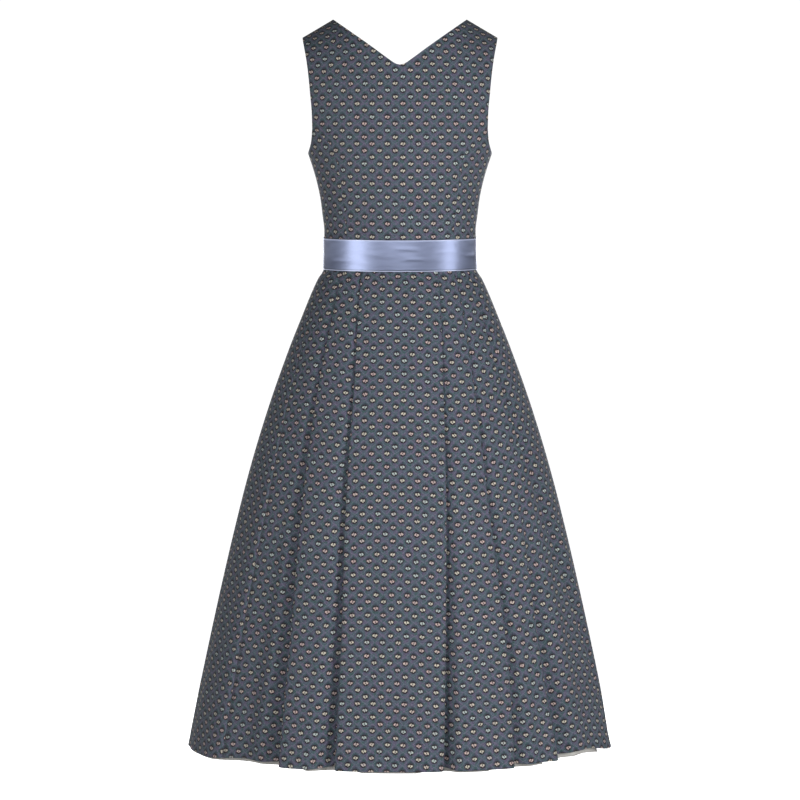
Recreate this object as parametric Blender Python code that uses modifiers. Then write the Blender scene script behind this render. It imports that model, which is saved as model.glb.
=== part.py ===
"""A sleeveless dirndl that keeps the hollow shape of its wearer: a princess-seamed bodice with a V neck,
a satin ribbon round the waist, a skirt of deep pleats and the pale lining under it.

Metres, +Z up. The back of the dress faces -Y, and the origin lies midway between the two neck points,
where the wearer's shoulders carry the dress. Angles run round the body from the centre back (0) over
the right of this view (90 degrees) to the centre front (180 degrees).
"""

import math
from collections import namedtuple

import bmesh
import bpy
from mathutils import Vector

COLLECTION = "dirndl"

# Cloth and seams
BODICE_WALL = 0.0015  # outer cloth and its fused backing
SKIRT_WALL = 0.0010
LINING_WALL = 0.0010
RIBBON_WALL = 0.0010
SEAM_GAP = 0.0003
SMALL_TURN = SEAM_GAP / 2 / 0.1  # half a seam gap as an angle on a body about 0.1 m in radius

# Heights
WAIST = -0.385
HEM = -1.167
SHOULDER_ARCH = -0.200  # above this the bodice starts to lean over the shoulders
RIBBON_TOP = -0.3467
RIBBON_BOTTOM = -0.3972

# Shoulders and neck, as distances from the centre line
NECK_POINT = 0.1064
SHOULDER_TIP = 0.1555
SHOULDER_SLOPE = 0.59
SHOULDER_LEAN = 0.0008  # extra room at the shoulder seam, because the walls' ends lean towards it
ARCH_POWER = 2.5
BODY_FLATNESS = 0.85  # under 1 is flatter across the back and front than an ellipse

# The bodice from the waist (level -1) to the arch's start (0) and the shoulder seam (1).
BodiceRing = namedtuple("BodiceRing", "level half_width back_depth front_depth")
BODICE_RINGS = (
    BodiceRing(-1.00, 0.1211, 0.0955, 0.0985),
    BodiceRing(-0.74, 0.1211, 0.0962, 0.1030),
    BodiceRing(-0.60, 0.1240, 0.0980, 0.1100),
    BodiceRing(-0.46, 0.1273, 0.1000, 0.1175),
    BodiceRing(-0.32, 0.1328, 0.1025, 0.1250),
    BodiceRing(-0.18, 0.1402, 0.1050, 0.1290),
    BodiceRing(-0.07, 0.1470, 0.1065, 0.1290),
    BodiceRing(0.00, 0.1510, 0.1072, 0.1275),
    BodiceRing(0.30, 0.1720, 0.1080, 0.1180),
    BodiceRing(0.60, 0.1840, 0.1070, 0.1100),
    BodiceRing(1.00, 0.1900, 0.1000, 0.1000),
)

# Pattern outlines on one half of the bodice: distance from the centre line and height of each point.
SHOULDER = ((NECK_POINT, 0.0), (SHOULDER_TIP, -SHOULDER_SLOPE * (SHOULDER_TIP - NECK_POINT)))
UNDERARM = (0.1470, -0.2128)
BACK_SEAM_TOP = (0.1391, -0.1720)  # where the princess seam runs into the armhole
FRONT_SEAM_TOP = (0.1310, -0.1640)
BACK_NECK = ((0.0, -0.0722), (0.0060, -0.0708), (0.0130, -0.0668), (0.0496, -0.0400), SHOULDER[0])
FRONT_NECK = ((0.0, -0.1500), (0.0060, -0.1465), (0.0130, -0.1375), (0.0500, -0.0780), SHOULDER[0])
BACK_ARMHOLE_TOP = (
    BACK_SEAM_TOP,
    (0.1399, -0.1440),
    (0.1423, -0.1180),
    (0.1447, -0.0930),
    (0.1484, -0.0650),
    SHOULDER[1],
)
FRONT_ARMHOLE_TOP = (
    FRONT_SEAM_TOP,
    (0.1312, -0.1380),
    (0.1345, -0.1050),
    (0.1395, -0.0720),
    (0.1450, -0.0500),
    SHOULDER[1],
)
BACK_ARMHOLE_FOOT = (BACK_SEAM_TOP, (0.1412, -0.1940), (0.1445, -0.2060), UNDERARM)
FRONT_ARMHOLE_FOOT = (FRONT_SEAM_TOP, (0.1345, -0.1880), (0.1405, -0.2050), UNDERARM)
BACK_PRINCESS = (
    (0.0830, WAIST),
    (0.0842, -0.3470),
    (0.0915, -0.2780),
    (0.1030, -0.2110),
    (0.1190, -0.1890),
    BACK_SEAM_TOP,
)
FRONT_PRINCESS = (
    (0.0760, WAIST),
    (0.0790, -0.3400),
    (0.0860, -0.2800),
    (0.0930, -0.2300),
    (0.1080, -0.1880),
    FRONT_SEAM_TOP,
)
NECK_SHARES = (0.0, 0.04, 0.09, 0.17, 0.34, 0.54, 0.74, 0.89, 1.0)  # close together round the V's point
PRINCESS_STEPS = 8
ARMHOLE_STEPS = 7
UNDERARM_STEPS = 5
SHOULDER_STEPS = 3

# The ribbon from its top edge (0) to its bottom edge (1).
RibbonRing = namedtuple("RibbonRing", "down half_width back_depth front_depth")
RIBBON_RINGS = (
    RibbonRing(0.0, 0.1232, 0.0978, 0.1050),
    RibbonRing(0.5, 0.1233, 0.0976, 0.1012),
    RibbonRing(1.0, 0.1241, 0.0984, 0.1014),
)
RIBBON_LAP = math.radians(10)  # how far each end runs past the centre front
RIBBON_LAP_RISE = math.radians(22)  # the outer end climbs over the inner one along this turn
RIBBON_BOW = 0.0010  # the centre back hangs this much lower than the sides
RIBBON_COLUMNS = 64

# The skirt's outermost ring from the waist seam (fall 0) to the hem (1).
SkirtRing = namedtuple("SkirtRing", "fall half_width back_depth front_depth flatness")
SKIRT_RINGS = (
    SkirtRing(0.000, 0.1219, 0.0962, 0.0992, 0.85),
    SkirtRing(0.018, 0.1226, 0.0968, 0.0998, 0.85),
    SkirtRing(0.034, 0.1305, 0.1034, 0.1072, 0.86),
    SkirtRing(0.060, 0.1402, 0.1112, 0.1160, 0.88),
    SkirtRing(0.121, 0.1597, 0.1262, 0.1330, 0.91),
    SkirtRing(0.183, 0.1790, 0.1405, 0.1490, 0.94),
    SkirtRing(0.306, 0.2128, 0.1660, 0.1770, 1.00),
    SkirtRing(0.430, 0.2420, 0.1880, 0.2010, 1.00),
    SkirtRing(0.552, 0.2664, 0.2062, 0.2210, 1.00),
    SkirtRing(0.676, 0.2890, 0.2226, 0.2400, 1.00),
    SkirtRing(0.801, 0.3104, 0.2385, 0.2580, 1.00),
    SkirtRing(0.926, 0.3309, 0.2538, 0.2740, 1.00),
    SkirtRing(1.000, 0.3422, 0.2620, 0.2830, 1.00),
)
SKIRT_FALLS = (0.0, 0.018, 0.034, 0.07, 0.14, 0.25, 0.38, 0.52, 0.66, 0.79, 0.90, 1.0)

# Pleats, in order from the centre back to the centre front on each side. The cloth of a pleat runs
# outwards to its edge, turns under by the underlay and comes out again beyond the edge. The angles are
# those of the edge at FOLD_FALLS, and the sizes are those at the hem, which the waist presses flat.
# A late pleat (power over 1) stays flat for longer on its way down. Columns is how many times the panel
# that leads to the pleat is divided.
FOLD_FALLS = (0.0, 0.10, 0.25, 0.50, 0.75, 1.0)
Fold = namedtuple("Fold", "name angles underlay edge_height valley rise lift power columns")
RIGHT_FOLDS = (
    Fold("right_a", (30, 25.0, 20.2, 16.5, 13.8, 11.6), 0.014, 0.0055, 0.022, 0.026, 0.004, 1.3, 1),
    Fold("right_b", (46, 41.0, 36.6, 33.6, 33.7, 31.9), 0.015, 0.0060, 0.024, 0.045, 0.004, 1.4, 1),
    Fold("right_c", (62, 57.5, 54.5, 63.0, 75.0, 85.0), 0.016, 0.0060, 0.026, 0.055, 0.004, 0.8, 2),
    Fold("right_e", (86, 86.0, 90.0, 97.0, 104.0, 110.0), 0.015, 0.0055, 0.024, 0.045, 0.004, 1.2, 1),
    Fold("right_f", (112, 112.0, 115.0, 121.0, 127.0, 131.0), 0.016, 0.0060, 0.026, 0.040, 0.005, 1.3, 1),
    Fold("right_g", (138, 138.0, 140.0, 145.0, 149.0, 152.0), 0.014, 0.0055, 0.022, 0.045, 0.004, 1.1, 1),
)
LEFT_FOLDS = (
    Fold("left_a", (30, 25.5, 21.6, 19.6, 17.9, 17.5), 0.014, 0.0055, 0.024, 0.048, 0.004, 1.2, 1),
    Fold("left_b", (48, 44.0, 41.2, 38.0, 35.4, 34.3), 0.016, 0.0065, 0.030, 0.050, 0.004, 1.1, 1),
    Fold("left_e", (96, 94.0, 93.0, 93.0, 95.0, 97.0), 0.015, 0.0055, 0.024, 0.045, 0.004, 1.2, 3),
    Fold("left_f", (118, 117.0, 117.0, 119.0, 122.0, 125.0), 0.015, 0.0060, 0.025, 0.045, 0.005, 1.3, 2),
    Fold("left_g", (140, 139.0, 140.0, 143.0, 147.0, 150.0), 0.016, 0.0055, 0.023, 0.045, 0.004, 1.2, 1),
)
WAIST_UNDERLAY = 0.018
WAIST_EDGE_HEIGHT = 0.0007  # half the distance between two pressed layers
WAIST_EDGE_LENGTH = 0.0012
WAIST_VALLEY = 4 * WAIST_EDGE_HEIGHT
WAIST_RISE = 0.010
HEM_EDGE_LENGTH = 0.0065
EDGE_STEPS = 4  # round the pleat's edge
INNER_STEPS = 2  # round the turn at the end of the underlay
RISE_STEPS = 3  # along the flank that comes out again
SLIT_COLUMNS = 2  # on the panel beside the centre front

# The seam between the skirt's back and its left front, and a trough that only opens low down.
SEAM_ANGLES = (76, 67.0, 60.4, 56.8, 57.2, 57.2)
TROUGH_ANGLES = (54, 49.3, 46.0, 48.0, 46.9, 48.3)
TroughPoint = namedtuple("TroughPoint", "across depth")
TROUGH = (
    TroughPoint(-0.022, 0.00),
    TroughPoint(-0.007, 0.00),
    TroughPoint(0.000, 0.05),
    TroughPoint(0.005, 0.40),
    TroughPoint(0.010, 0.86),
    TroughPoint(0.016, 1.00),
    TroughPoint(0.027, 0.80),
    TroughPoint(0.042, 0.38),
    TroughPoint(0.060, 0.08),
)
TROUGH_DEPTH = 0.030
TROUGH_LIFT = 0.004
TROUGH_START = 0.35
TROUGH_TOP_SPREAD = 0.12

# Where the skirt hangs slack: it falls inside the ring by the recess, and its hem is lifted.
Swag = namedtuple("Swag", "angle half_turn recess lift")
SWAGS = (
    Swag(-48, 17, 0.018, 0.005),
    Swag(43, 11, 0.012, 0.003),
    Swag(64, 20, 0.014, 0.012),
    Swag(94, 24, 0.000, 0.004),
    Swag(118, 18, 0.014, 0.004),
    Swag(158, 16, 0.010, 0.003),
    Swag(-88, 26, 0.000, 0.003),
    Swag(-110, 16, 0.014, 0.004),
    Swag(-150, 18, 0.012, 0.004),
)
SWAG_POWER = 1.5

# The lining hangs inside the pleats and just shows under the hem.
LINING_TOP = 0.004
LINING_DROP = 0.004
LINING_CLEARANCE = 0.0006  # from the pleats at the waist, and below from halfway down
LINING_HEM_CLEARANCE = 0.0050
LINING_LIFT = 0.6  # it follows this share of the skirt's lift
LINING_SPREAD = 0.006  # the lining's dips are wider than the pleats' valleys by this much
LINING_INNER_SLOPE = 0.030  # width of each dip's other flank, under the pleat
LINING_RISE_SHARES = (0.4, 0.75, 1.05)  # columns along the flank outside a pleat's edge
LINING_EDGE_MARGIN = 0.004  # columns this far on both sides of a pleat's underlay
LINING_TROUGH_FLANKS = (0.030, 0.045)  # widths of the dip's flanks behind the trough
LINING_TROUGH_FLAT = 0.020
LINING_TROUGH_COLUMNS = (-0.020, -0.002, 0.020, 0.040, 0.062)
LINING_PLAIN_COLUMNS = (56, 67, 78)  # angles on the left, where the lining has no pleat to avoid


def read(rows, at, column):
    """The value of a column at a place between a table's rows, on a smooth curve through them."""
    keys = [row[0] for row in rows]
    values = [getattr(row, column) if isinstance(column, str) else row[column] for row in rows]
    at = min(max(at, keys[0]), keys[-1])
    i = max(k for k in range(len(keys) - 1) if keys[k] <= at)
    slopes = [(values[k + 1] - values[k]) / (keys[k + 1] - keys[k]) for k in range(len(keys) - 1)]

    def tangent(k):
        before, after = slopes[max(k - 1, 0)], slopes[min(k, len(slopes) - 1)]
        if before * after <= 0:
            return 0.0
        return 2 * before * after / (before + after)

    step = keys[i + 1] - keys[i]
    t = (at - keys[i]) / step
    start, end = tangent(i) * step, tangent(i + 1) * step
    return (
        (2 * t**3 - 3 * t**2 + 1) * values[i]
        + (t**3 - 2 * t**2 + t) * start
        + (3 * t**2 - 2 * t**3) * values[i + 1]
        + (t**3 - t**2) * end
    )


def mix(start, end, share):
    return start + (end - start) * share


def eased(t):
    """0 to 1 with level ends."""
    t = min(max(t, 0.0), 1.0)
    return t * t * (3 - 2 * t)


def evenly(start, end, steps):
    return [mix(start, end, i / steps) for i in range(steps + 1)]


def smooth_line(points, shares):
    """Points at these shares of the length of a smooth curve through a pattern outline's points."""
    lengths = [0.0]
    for a, b in zip(points, points[1:]):
        lengths.append(lengths[-1] + math.dist(a, b))
    rows = [(length, *point) for length, point in zip(lengths, points)]

    def tangent(k, column):
        a, b = rows[max(k - 1, 0)], rows[min(k + 1, len(rows) - 1)]
        return (b[column] - a[column]) / (b[0] - a[0])

    line = []
    for share in shares:
        at = share * lengths[-1]
        i = max(k for k in range(len(rows) - 1) if rows[k][0] <= at)
        step = rows[i + 1][0] - rows[i][0]
        t = (at - rows[i][0]) / step
        line.append(
            tuple(
                (2 * t**3 - 3 * t**2 + 1) * rows[i][c]
                + (t**3 - 2 * t**2 + t) * tangent(i, c) * step
                + (3 * t**2 - 2 * t**3) * rows[i + 1][c]
                + (t**3 - t**2) * tangent(i + 1, c) * step
                for c in (1, 2)
            )
        )
    return line


def sheet_object(name, grid, wall, offset, material, mirrored=False):
    """A cloth wall over a grid of points: rows run up, columns run round the body towards +angle."""
    mesh = bpy.data.meshes.new(name)
    built = bmesh.new()
    rows = [[built.verts.new(point) for point in row] for row in grid]
    for lower, upper in zip(rows, rows[1:]):
        for i in range(len(lower) - 1):
            corners = (lower[i], lower[i + 1], upper[i + 1], upper[i])
            built.faces.new(corners[::-1] if mirrored else corners)
    built.to_mesh(mesh)
    built.free()
    mesh.shade_smooth()
    mesh.materials.append(material)
    obj = bpy.data.objects.new(name, mesh)
    collection.objects.link(obj)
    wall_modifier = obj.modifiers.new("Wall", "SOLIDIFY")
    wall_modifier.thickness = wall
    wall_modifier.offset = offset
    wall_modifier.use_even_offset = True
    return obj


def cloth_material(name, colour, roughness):
    material = bpy.data.materials.new(name)
    material.use_nodes = True
    surface = material.node_tree.nodes["Principled BSDF"]
    surface.inputs["Base Color"].default_value = (*colour, 1)
    surface.inputs["Roughness"].default_value = roughness
    surface.inputs["Metallic"].default_value = 0
    return material


# Bodice


def bodice_point(angle, level, front):
    """A point of the bodice's outer face, on the right half of the body."""
    across = read(BODICE_RINGS, level, "half_width") * math.sin(angle)
    depth = read(BODICE_RINGS, level, "front_depth" if front else "back_depth")
    depth *= abs(math.cos(angle)) ** BODY_FLATNESS
    height = SHOULDER_ARCH + level * (SHOULDER_ARCH - WAIST)
    if level > 0:
        climb = math.sin(math.pi / 2 * level)
        top = SHOULDER_SLOPE * (NECK_POINT - across)
        height = mix(SHOULDER_ARCH, top, climb)
        depth = depth * math.sqrt(1 - climb**ARCH_POWER) + SHOULDER_LEAN * level**4
    depth += SEAM_GAP / 2
    return Vector((across, depth if front else -depth, height))


def bodice_place(across, height, front):
    """The angle and level of a pattern point."""
    level = (height - SHOULDER_ARCH) / (SHOULDER_ARCH - WAIST)
    if height > SHOULDER_ARCH:
        top = SHOULDER_SLOPE * (NECK_POINT - across)
        climb = min((height - SHOULDER_ARCH) / (top - SHOULDER_ARCH), 1.0)
        level = math.asin(climb) * 2 / math.pi
    angle = math.asin(min(across / read(BODICE_RINGS, level, "half_width"), 1.0))
    return (math.pi - angle if front else angle), level


def patch(bottom, top, start, end):
    """Fills four outlines with a grid: bottom and top run round the body, start and end run up it."""
    columns, rows = len(bottom) - 1, len(start) - 1
    grid = []
    for j in range(rows + 1):
        v = j / rows
        row = []
        for i in range(columns + 1):
            u = i / columns
            row.append(
                tuple(
                    (1 - v) * bottom[i][k]
                    + v * top[i][k]
                    + (1 - u) * start[j][k]
                    + u * end[j][k]
                    - (1 - u) * (1 - v) * bottom[0][k]
                    - u * (1 - v) * bottom[-1][k]
                    - (1 - u) * v * top[0][k]
                    - u * v * top[-1][k]
                    for k in (0, 1)
                )
            )
        grid.append(row)
    return grid


def between(a, b, shares):
    return [tuple(mix(a[k], b[k], share) for k in (0, 1)) for share in shares]


def shares_of(line):
    """How far along its line each point lies, from 0 to 1."""
    lengths = [0.0]
    for a, b in zip(line, line[1:]):
        lengths.append(lengths[-1] + math.dist(a, b))
    return [length / lengths[-1] for length in lengths]


def to_shoulder(steps):
    """Shares of a line that ends on the shoulder seam, closer together where the cloth turns over it."""
    return [math.sin(t) for t in evenly(0, math.pi / 2, steps)]


def off_waist(line):
    """The same outline with its lowest point lifted by half the waist seam's gap."""
    return [(across, max(height, WAIST + SEAM_GAP / 2)) for across, height in line]


def panel_to_centre(neck, armhole_top, princess, front):
    """The panel between the centre line and the princess seam, with its shoulder strap."""
    centre_line = SEAM_GAP / 2 if front else 0.0
    seam = off_waist(smooth_line(princess, evenly(0, 1, PRINCESS_STEPS)))
    seam = [(across - SEAM_GAP / 2, height) for across, height in seam]
    outer = seam + smooth_line(armhole_top, to_shoulder(ARMHOLE_STEPS))[1:]
    top = smooth_line(neck, NECK_SHARES) + smooth_line(SHOULDER, evenly(0, 1, SHOULDER_STEPS))[1:]
    top[0] = (centre_line, top[0][1])
    centre = between((centre_line, seam[0][1]), top[0], shares_of(outer))
    bottom = between(centre[0], outer[0], shares_of(top))
    if front:
        grid = patch(bottom[::-1], top[::-1], outer, centre)
    else:
        grid = patch(bottom, top, centre, outer)
    return [[bodice_point(*bodice_place(*place, front), front) for place in row] for row in grid]


def panel_to_side(armhole_foot, princess, front):
    """The panel between the princess seam and the side seam."""
    turn = -SMALL_TURN if front else SMALL_TURN
    side_angle = math.pi / 2 - turn

    def places(line):
        return [bodice_place(across, height, front) for across, height in line]

    seam = places(off_waist(smooth_line(princess, evenly(0, 1, PRINCESS_STEPS))))
    seam = [(angle + turn, level) for angle, level in seam]
    top = places(smooth_line(armhole_foot, evenly(0, 1, UNDERARM_STEPS)))
    top[0] = seam[-1]
    top[-1] = (side_angle, top[-1][1])
    side = between((side_angle, seam[0][1]), top[-1], evenly(0, 1, PRINCESS_STEPS))
    bottom = between(seam[0], side[0], evenly(0, 1, UNDERARM_STEPS))
    if front:
        grid = patch(bottom[::-1], top[::-1], side, seam)
    else:
        grid = patch(bottom, top, seam, side)
    return [[bodice_point(*place, front) for place in row] for row in grid]


def add_bodice():
    print_cloth = cloth_material("bodice_print", (0.075, 0.095, 0.125), 0.85)
    back = sheet_object(
        "bodice_back",
        panel_to_centre(BACK_NECK, BACK_ARMHOLE_TOP, BACK_PRINCESS, False),
        BODICE_WALL,
        -1,
        print_cloth,
    )
    mirror = back.modifiers.new("Left half", "MIRROR")
    mirror.merge_threshold = 0.0001
    back.modifiers.move(1, 0)
    grids = {
        "bodice_side_back": panel_to_side(BACK_ARMHOLE_FOOT, BACK_PRINCESS, False),
        "bodice_side_front": panel_to_side(FRONT_ARMHOLE_FOOT, FRONT_PRINCESS, True),
        "bodice_front": panel_to_centre(FRONT_NECK, FRONT_ARMHOLE_TOP, FRONT_PRINCESS, True),
    }
    for name, grid in grids.items():
        mirrored_grid = [[Vector((-p.x, p.y, p.z)) for p in row] for row in grid]
        sheet_object(name + "_right", grid, BODICE_WALL, -1, print_cloth)
        sheet_object(name + "_left", mirrored_grid, BODICE_WALL, -1, print_cloth, mirrored=True)


# Skirt, lining and ribbon


def ring_point(angle, half_width, back_depth, front_depth, flatness):
    depth = back_depth if math.cos(angle) > 0 else -front_depth
    return Vector((half_width * math.sin(angle), -depth * abs(math.cos(angle)) ** flatness))


def inside_ring(angle, inset, sizes):
    """The point of a ring at this angle, moved straight in from it."""
    step = 1e-3
    along = ring_point(angle + step, *sizes) - ring_point(angle - step, *sizes)
    along.normalize()
    outward = Vector((along.y, -along.x))
    return ring_point(angle, *sizes) - outward * inset


def skirt_sizes(fall):
    return [read(SKIRT_RINGS, fall, column) for column in SkirtRing._fields[1:]]


def fold_angle(angles, fall):
    return math.radians(read(tuple(zip(FOLD_FALLS, angles)), fall, 1))


def ring_radius(angle, sizes):
    """Metres of ring for each radian of angle."""
    step = 1e-3
    return (ring_point(angle + step, *sizes) - ring_point(angle - step, *sizes)).length / (2 * step)


def bell(turns):
    """1 at 0, falling smoothly to 0 at -1 and 1."""
    return 0.5 + 0.5 * math.cos(math.pi * min(abs(turns), 1.0))


def swag(angle, column):
    """How far the slack places move the cloth at this angle at the hem."""
    total = 0.0
    for row in SWAGS:
        away = math.remainder(angle - math.radians(row.angle), 2 * math.pi)
        total += getattr(row, column) * bell(away / math.radians(row.half_turn))
    return total


PathPoint = namedtuple("PathPoint", "angle inset lift")


def fold_sizes(fold, fall):
    """A pleat's underlay, edge length, edge height, valley and rise at this fall."""
    open_ = fall**fold.power
    return (
        mix(WAIST_UNDERLAY, fold.underlay, fall),
        mix(WAIST_EDGE_LENGTH, HEM_EDGE_LENGTH, open_),
        mix(WAIST_EDGE_HEIGHT, fold.edge_height, open_),
        mix(WAIST_VALLEY, fold.valley, open_),
        mix(WAIST_RISE, fold.rise, open_),
    )


def fold_path(fold, fall, sizes, cut):
    """A pleat's cross-section. With cut, a seam parts it halfway along its underlay."""
    underlay, length, height, valley, rise = fold_sizes(fold, fall)
    inner = min(height, (valley - 2 * height) / 2)  # half the height of the turn at the underlay's end
    points = []
    for t in evenly(0, math.pi, EDGE_STEPS):
        points.append((-length * (1 - math.sin(t)), height * (1 - math.cos(t))))
    half_gap = SEAM_GAP / 2 if cut else 0.0
    under = height + valley / 2 - inner
    points.append((-underlay / 2 + half_gap, under))
    if cut:
        points.append((-underlay / 2 - half_gap, under))
    for t in evenly(0, math.pi, INNER_STEPS):
        points.append((-underlay + length * (1 - math.sin(t)), valley - inner * (1 + math.cos(t))))
    for t in evenly(0, 1, RISE_STEPS):
        points.append((rise * t, valley * (1 - eased(t))))
    edge = fold_angle(fold.angles, fall)
    radius = ring_radius(edge, sizes)
    lift = fold.lift / fold.valley
    return [PathPoint(edge + across / radius, inset, lift * inset) for across, inset in points]


def trough_opened(fall):
    """How far the trough has opened at this fall, from 0 to 1."""
    return eased((fall - TROUGH_START) / (1 - TROUGH_START))


def trough_path(fall, sizes):
    """The trough that opens low on the right, with no cloth turned under."""
    edge = fold_angle(TROUGH_ANGLES, fall)
    radius = ring_radius(edge, sizes)
    spread = mix(TROUGH_TOP_SPREAD, 1.0, eased(fall))
    depth = TROUGH_DEPTH * trough_opened(fall)
    path = []
    for point in TROUGH:
        angle = edge + point.across * spread / radius
        path.append(PathPoint(angle, depth * point.depth, TROUGH_LIFT * point.depth))
    return path


def half_path(folds, fall, sizes, trough_after=None, seam_before=None, cut_fold=None):
    """One side of the skirt from the centre back to the centre front, as parts that seams divide."""
    parts = [[PathPoint(0.0, 0.0, 0.0)]]

    def carry_on(points, columns=1):
        start = parts[-1][-1]
        for angle in evenly(start.angle, points[0].angle, columns + 1)[1:-1]:
            parts[-1].append(PathPoint(angle, 0.0, 0.0))
        parts[-1].extend(points)

    for fold in folds:
        if fold.name == seam_before:
            seam = fold_angle(SEAM_ANGLES, fall)
            half_gap = SEAM_GAP / 2 / ring_radius(seam, sizes)
            carry_on([PathPoint(seam - half_gap, 0.0, 0.0)])
            parts.append([PathPoint(seam + half_gap, 0.0, 0.0)])
        points = fold_path(fold, fall, sizes, fold.name == cut_fold)
        if fold.name == cut_fold:
            before_cut = EDGE_STEPS + 2
            carry_on(points[:before_cut], fold.columns)
            parts.append(points[before_cut:])
        else:
            carry_on(points, fold.columns)
        if fold.name == trough_after:
            carry_on(trough_path(fall, sizes))
    slit = math.pi - SEAM_GAP / 2 / ring_radius(math.pi, sizes)
    carry_on([PathPoint(slit, 0.0, 0.0)], SLIT_COLUMNS)
    return parts


def skirt_row(points, fall, side, sizes):
    """The middle of the cloth along a cross-section at this fall."""
    row = []
    for point in points:
        angle = point.angle * side
        inset = point.inset + SKIRT_WALL / 2 + swag(angle, "recess") * fall**SWAG_POWER
        place = inside_ring(angle, inset, sizes)
        hem = HEM + swag(angle, "lift") + point.lift
        row.append(Vector((place.x, place.y, mix(WAIST - SEAM_GAP / 2, hem, fall))))
    return row


def add_skirt():
    print_cloth = cloth_material("skirt_print", (0.075, 0.095, 0.125), 0.85)
    grids = {"skirt_back": [], "skirt_front_right": [], "skirt_front_left": []}
    for fall in reversed(SKIRT_FALLS):
        sizes = skirt_sizes(fall)
        right = half_path(RIGHT_FOLDS, fall, sizes, trough_after="right_b", cut_fold="right_c")
        left = half_path(LEFT_FOLDS, fall, sizes, seam_before="left_e")
        left_rows = [skirt_row(part, fall, -1, sizes)[::-1] for part in left]
        right_rows = [skirt_row(part, fall, 1, sizes) for part in right]
        grids["skirt_back"].append(left_rows[0][:-1] + right_rows[0])
        grids["skirt_front_right"].append(right_rows[1])
        grids["skirt_front_left"].append(left_rows[1])
    for name, grid in grids.items():
        sheet_object(name, grid, SKIRT_WALL, 0, print_cloth)


def lining_dip(across, fold, fall):
    """How deep the lining has to hang at this distance from a pleat's edge to stay inside the pleat."""
    underlay, _, _, valley, rise = fold_sizes(fold, fall)
    if across > 0:
        return valley * (1 - eased((across - LINING_SPREAD) / rise))
    return valley * (1 - eased((-across - underlay - LINING_SPREAD) / LINING_INNER_SLOPE))


def lining_inset(angle, fall, sizes):
    folds = RIGHT_FOLDS if angle > 0 else LEFT_FOLDS
    deepest = 0.0
    for fold in folds:
        edge = fold_angle(fold.angles, fall)
        across = (abs(angle) - edge) * ring_radius(edge, sizes)
        deepest = max(deepest, lining_dip(across, fold, fall))
    if angle > 0:
        edge = fold_angle(TROUGH_ANGLES, fall)
        across = (angle - edge) * ring_radius(edge, sizes)
        near_flank, far_flank = LINING_TROUGH_FLANKS
        share = eased(across / near_flank + 1) * (1 - eased((across - LINING_TROUGH_FLAT) / far_flank))
        deepest = max(deepest, TROUGH_DEPTH * trough_opened(fall) * share)
    recess = swag(angle, "recess") * fall**SWAG_POWER
    clearance = mix(LINING_CLEARANCE, LINING_HEM_CLEARANCE, eased(2 * fall))
    return SKIRT_WALL + max(deepest, WAIST_VALLEY) + clearance + recess


def lining_angles(folds, fall, sizes, trough):
    """Columns of the lining on one side, closer together where it dips behind a pleat."""
    angles = []
    for fold in folds:
        underlay, _, _, _, rise = fold_sizes(fold, fall)
        edge = fold_angle(fold.angles, fall)
        radius = ring_radius(edge, sizes)
        inner = -underlay - LINING_EDGE_MARGIN
        flank = inner - LINING_EDGE_MARGIN - 0.7 * LINING_INNER_SLOPE * fall
        angles += [edge + across / radius for across in (flank, inner, LINING_EDGE_MARGIN)]
        for t in LINING_RISE_SHARES:
            angles.append(edge + (LINING_SPREAD * fall + rise * t) / radius)
        if trough and fold.name == "right_b":
            centre = fold_angle(TROUGH_ANGLES, fall)
            reach = mix(TROUGH_TOP_SPREAD, 1.0, eased(fall)) / ring_radius(centre, sizes)
            angles += [centre + across * reach for across in LINING_TROUGH_COLUMNS]
    if not trough:
        angles += [math.radians(angle) for angle in LINING_PLAIN_COLUMNS]
    angles.sort()
    even = evenly(0, math.pi, len(angles) + 1)[1:-1]
    return [mix(e, a, fall) for e, a in zip(even, angles)]


def add_lining():
    grid = []
    for fall in reversed(SKIRT_FALLS):
        sizes = skirt_sizes(fall)
        right = lining_angles(RIGHT_FOLDS, fall, sizes, True)
        left = lining_angles(LEFT_FOLDS, fall, sizes, False)
        angles = [-a for a in reversed(left)] + [0.0] + right
        angles = [-math.pi + SMALL_TURN] + angles + [math.pi - SMALL_TURN]
        row = []
        for angle in angles:
            place = inside_ring(angle, lining_inset(angle, fall, sizes), sizes)
            hem = HEM - LINING_DROP + swag(angle, "lift") * LINING_LIFT
            row.append(Vector((place.x, place.y, mix(WAIST - LINING_TOP, hem, fall))))
        grid.append(row)
    lining = cloth_material("lining_cloth", (0.78, 0.75, 0.70), 0.8)
    sheet_object("skirt_lining", grid, LINING_WALL, -1, lining)


def add_ribbon():
    grid = []
    for down in (1.0, 0.5, 0.0):
        sizes = [read(RIBBON_RINGS, down, column) for column in RibbonRing._fields[1:]]
        row = []
        for angle in evenly(-math.pi - RIBBON_LAP, math.pi + RIBBON_LAP, RIBBON_COLUMNS):
            climb = eased((angle - math.pi + RIBBON_LAP + RIBBON_LAP_RISE) / RIBBON_LAP_RISE)
            place = inside_ring(angle, -climb * (RIBBON_WALL + SEAM_GAP), sizes + [BODY_FLATNESS])
            bow = RIBBON_BOW * max(math.cos(angle), 0.0)
            row.append(Vector((place.x, place.y, mix(RIBBON_TOP, RIBBON_BOTTOM, down) - bow)))
        grid.append(row)
    satin = cloth_material("ribbon_satin", (0.33, 0.36, 0.55), 0.35)
    sheet_object("waist_ribbon", grid, RIBBON_WALL, -1, satin)


for old in list(bpy.data.objects):
    bpy.data.objects.remove(old, do_unlink=True)
collection = bpy.data.collections.new(COLLECTION)
bpy.context.scene.collection.children.link(collection)
add_bodice()
add_skirt()
add_lining()
add_ribbon()
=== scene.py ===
"""A sleeveless dirndl, seen from behind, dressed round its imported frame.

Metres, +Z up. The back of the dress faces -Y. Angles run round the body from the centre back (0) over
the right of this view (90 degrees) to the centre front (180 degrees).
"""

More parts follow.
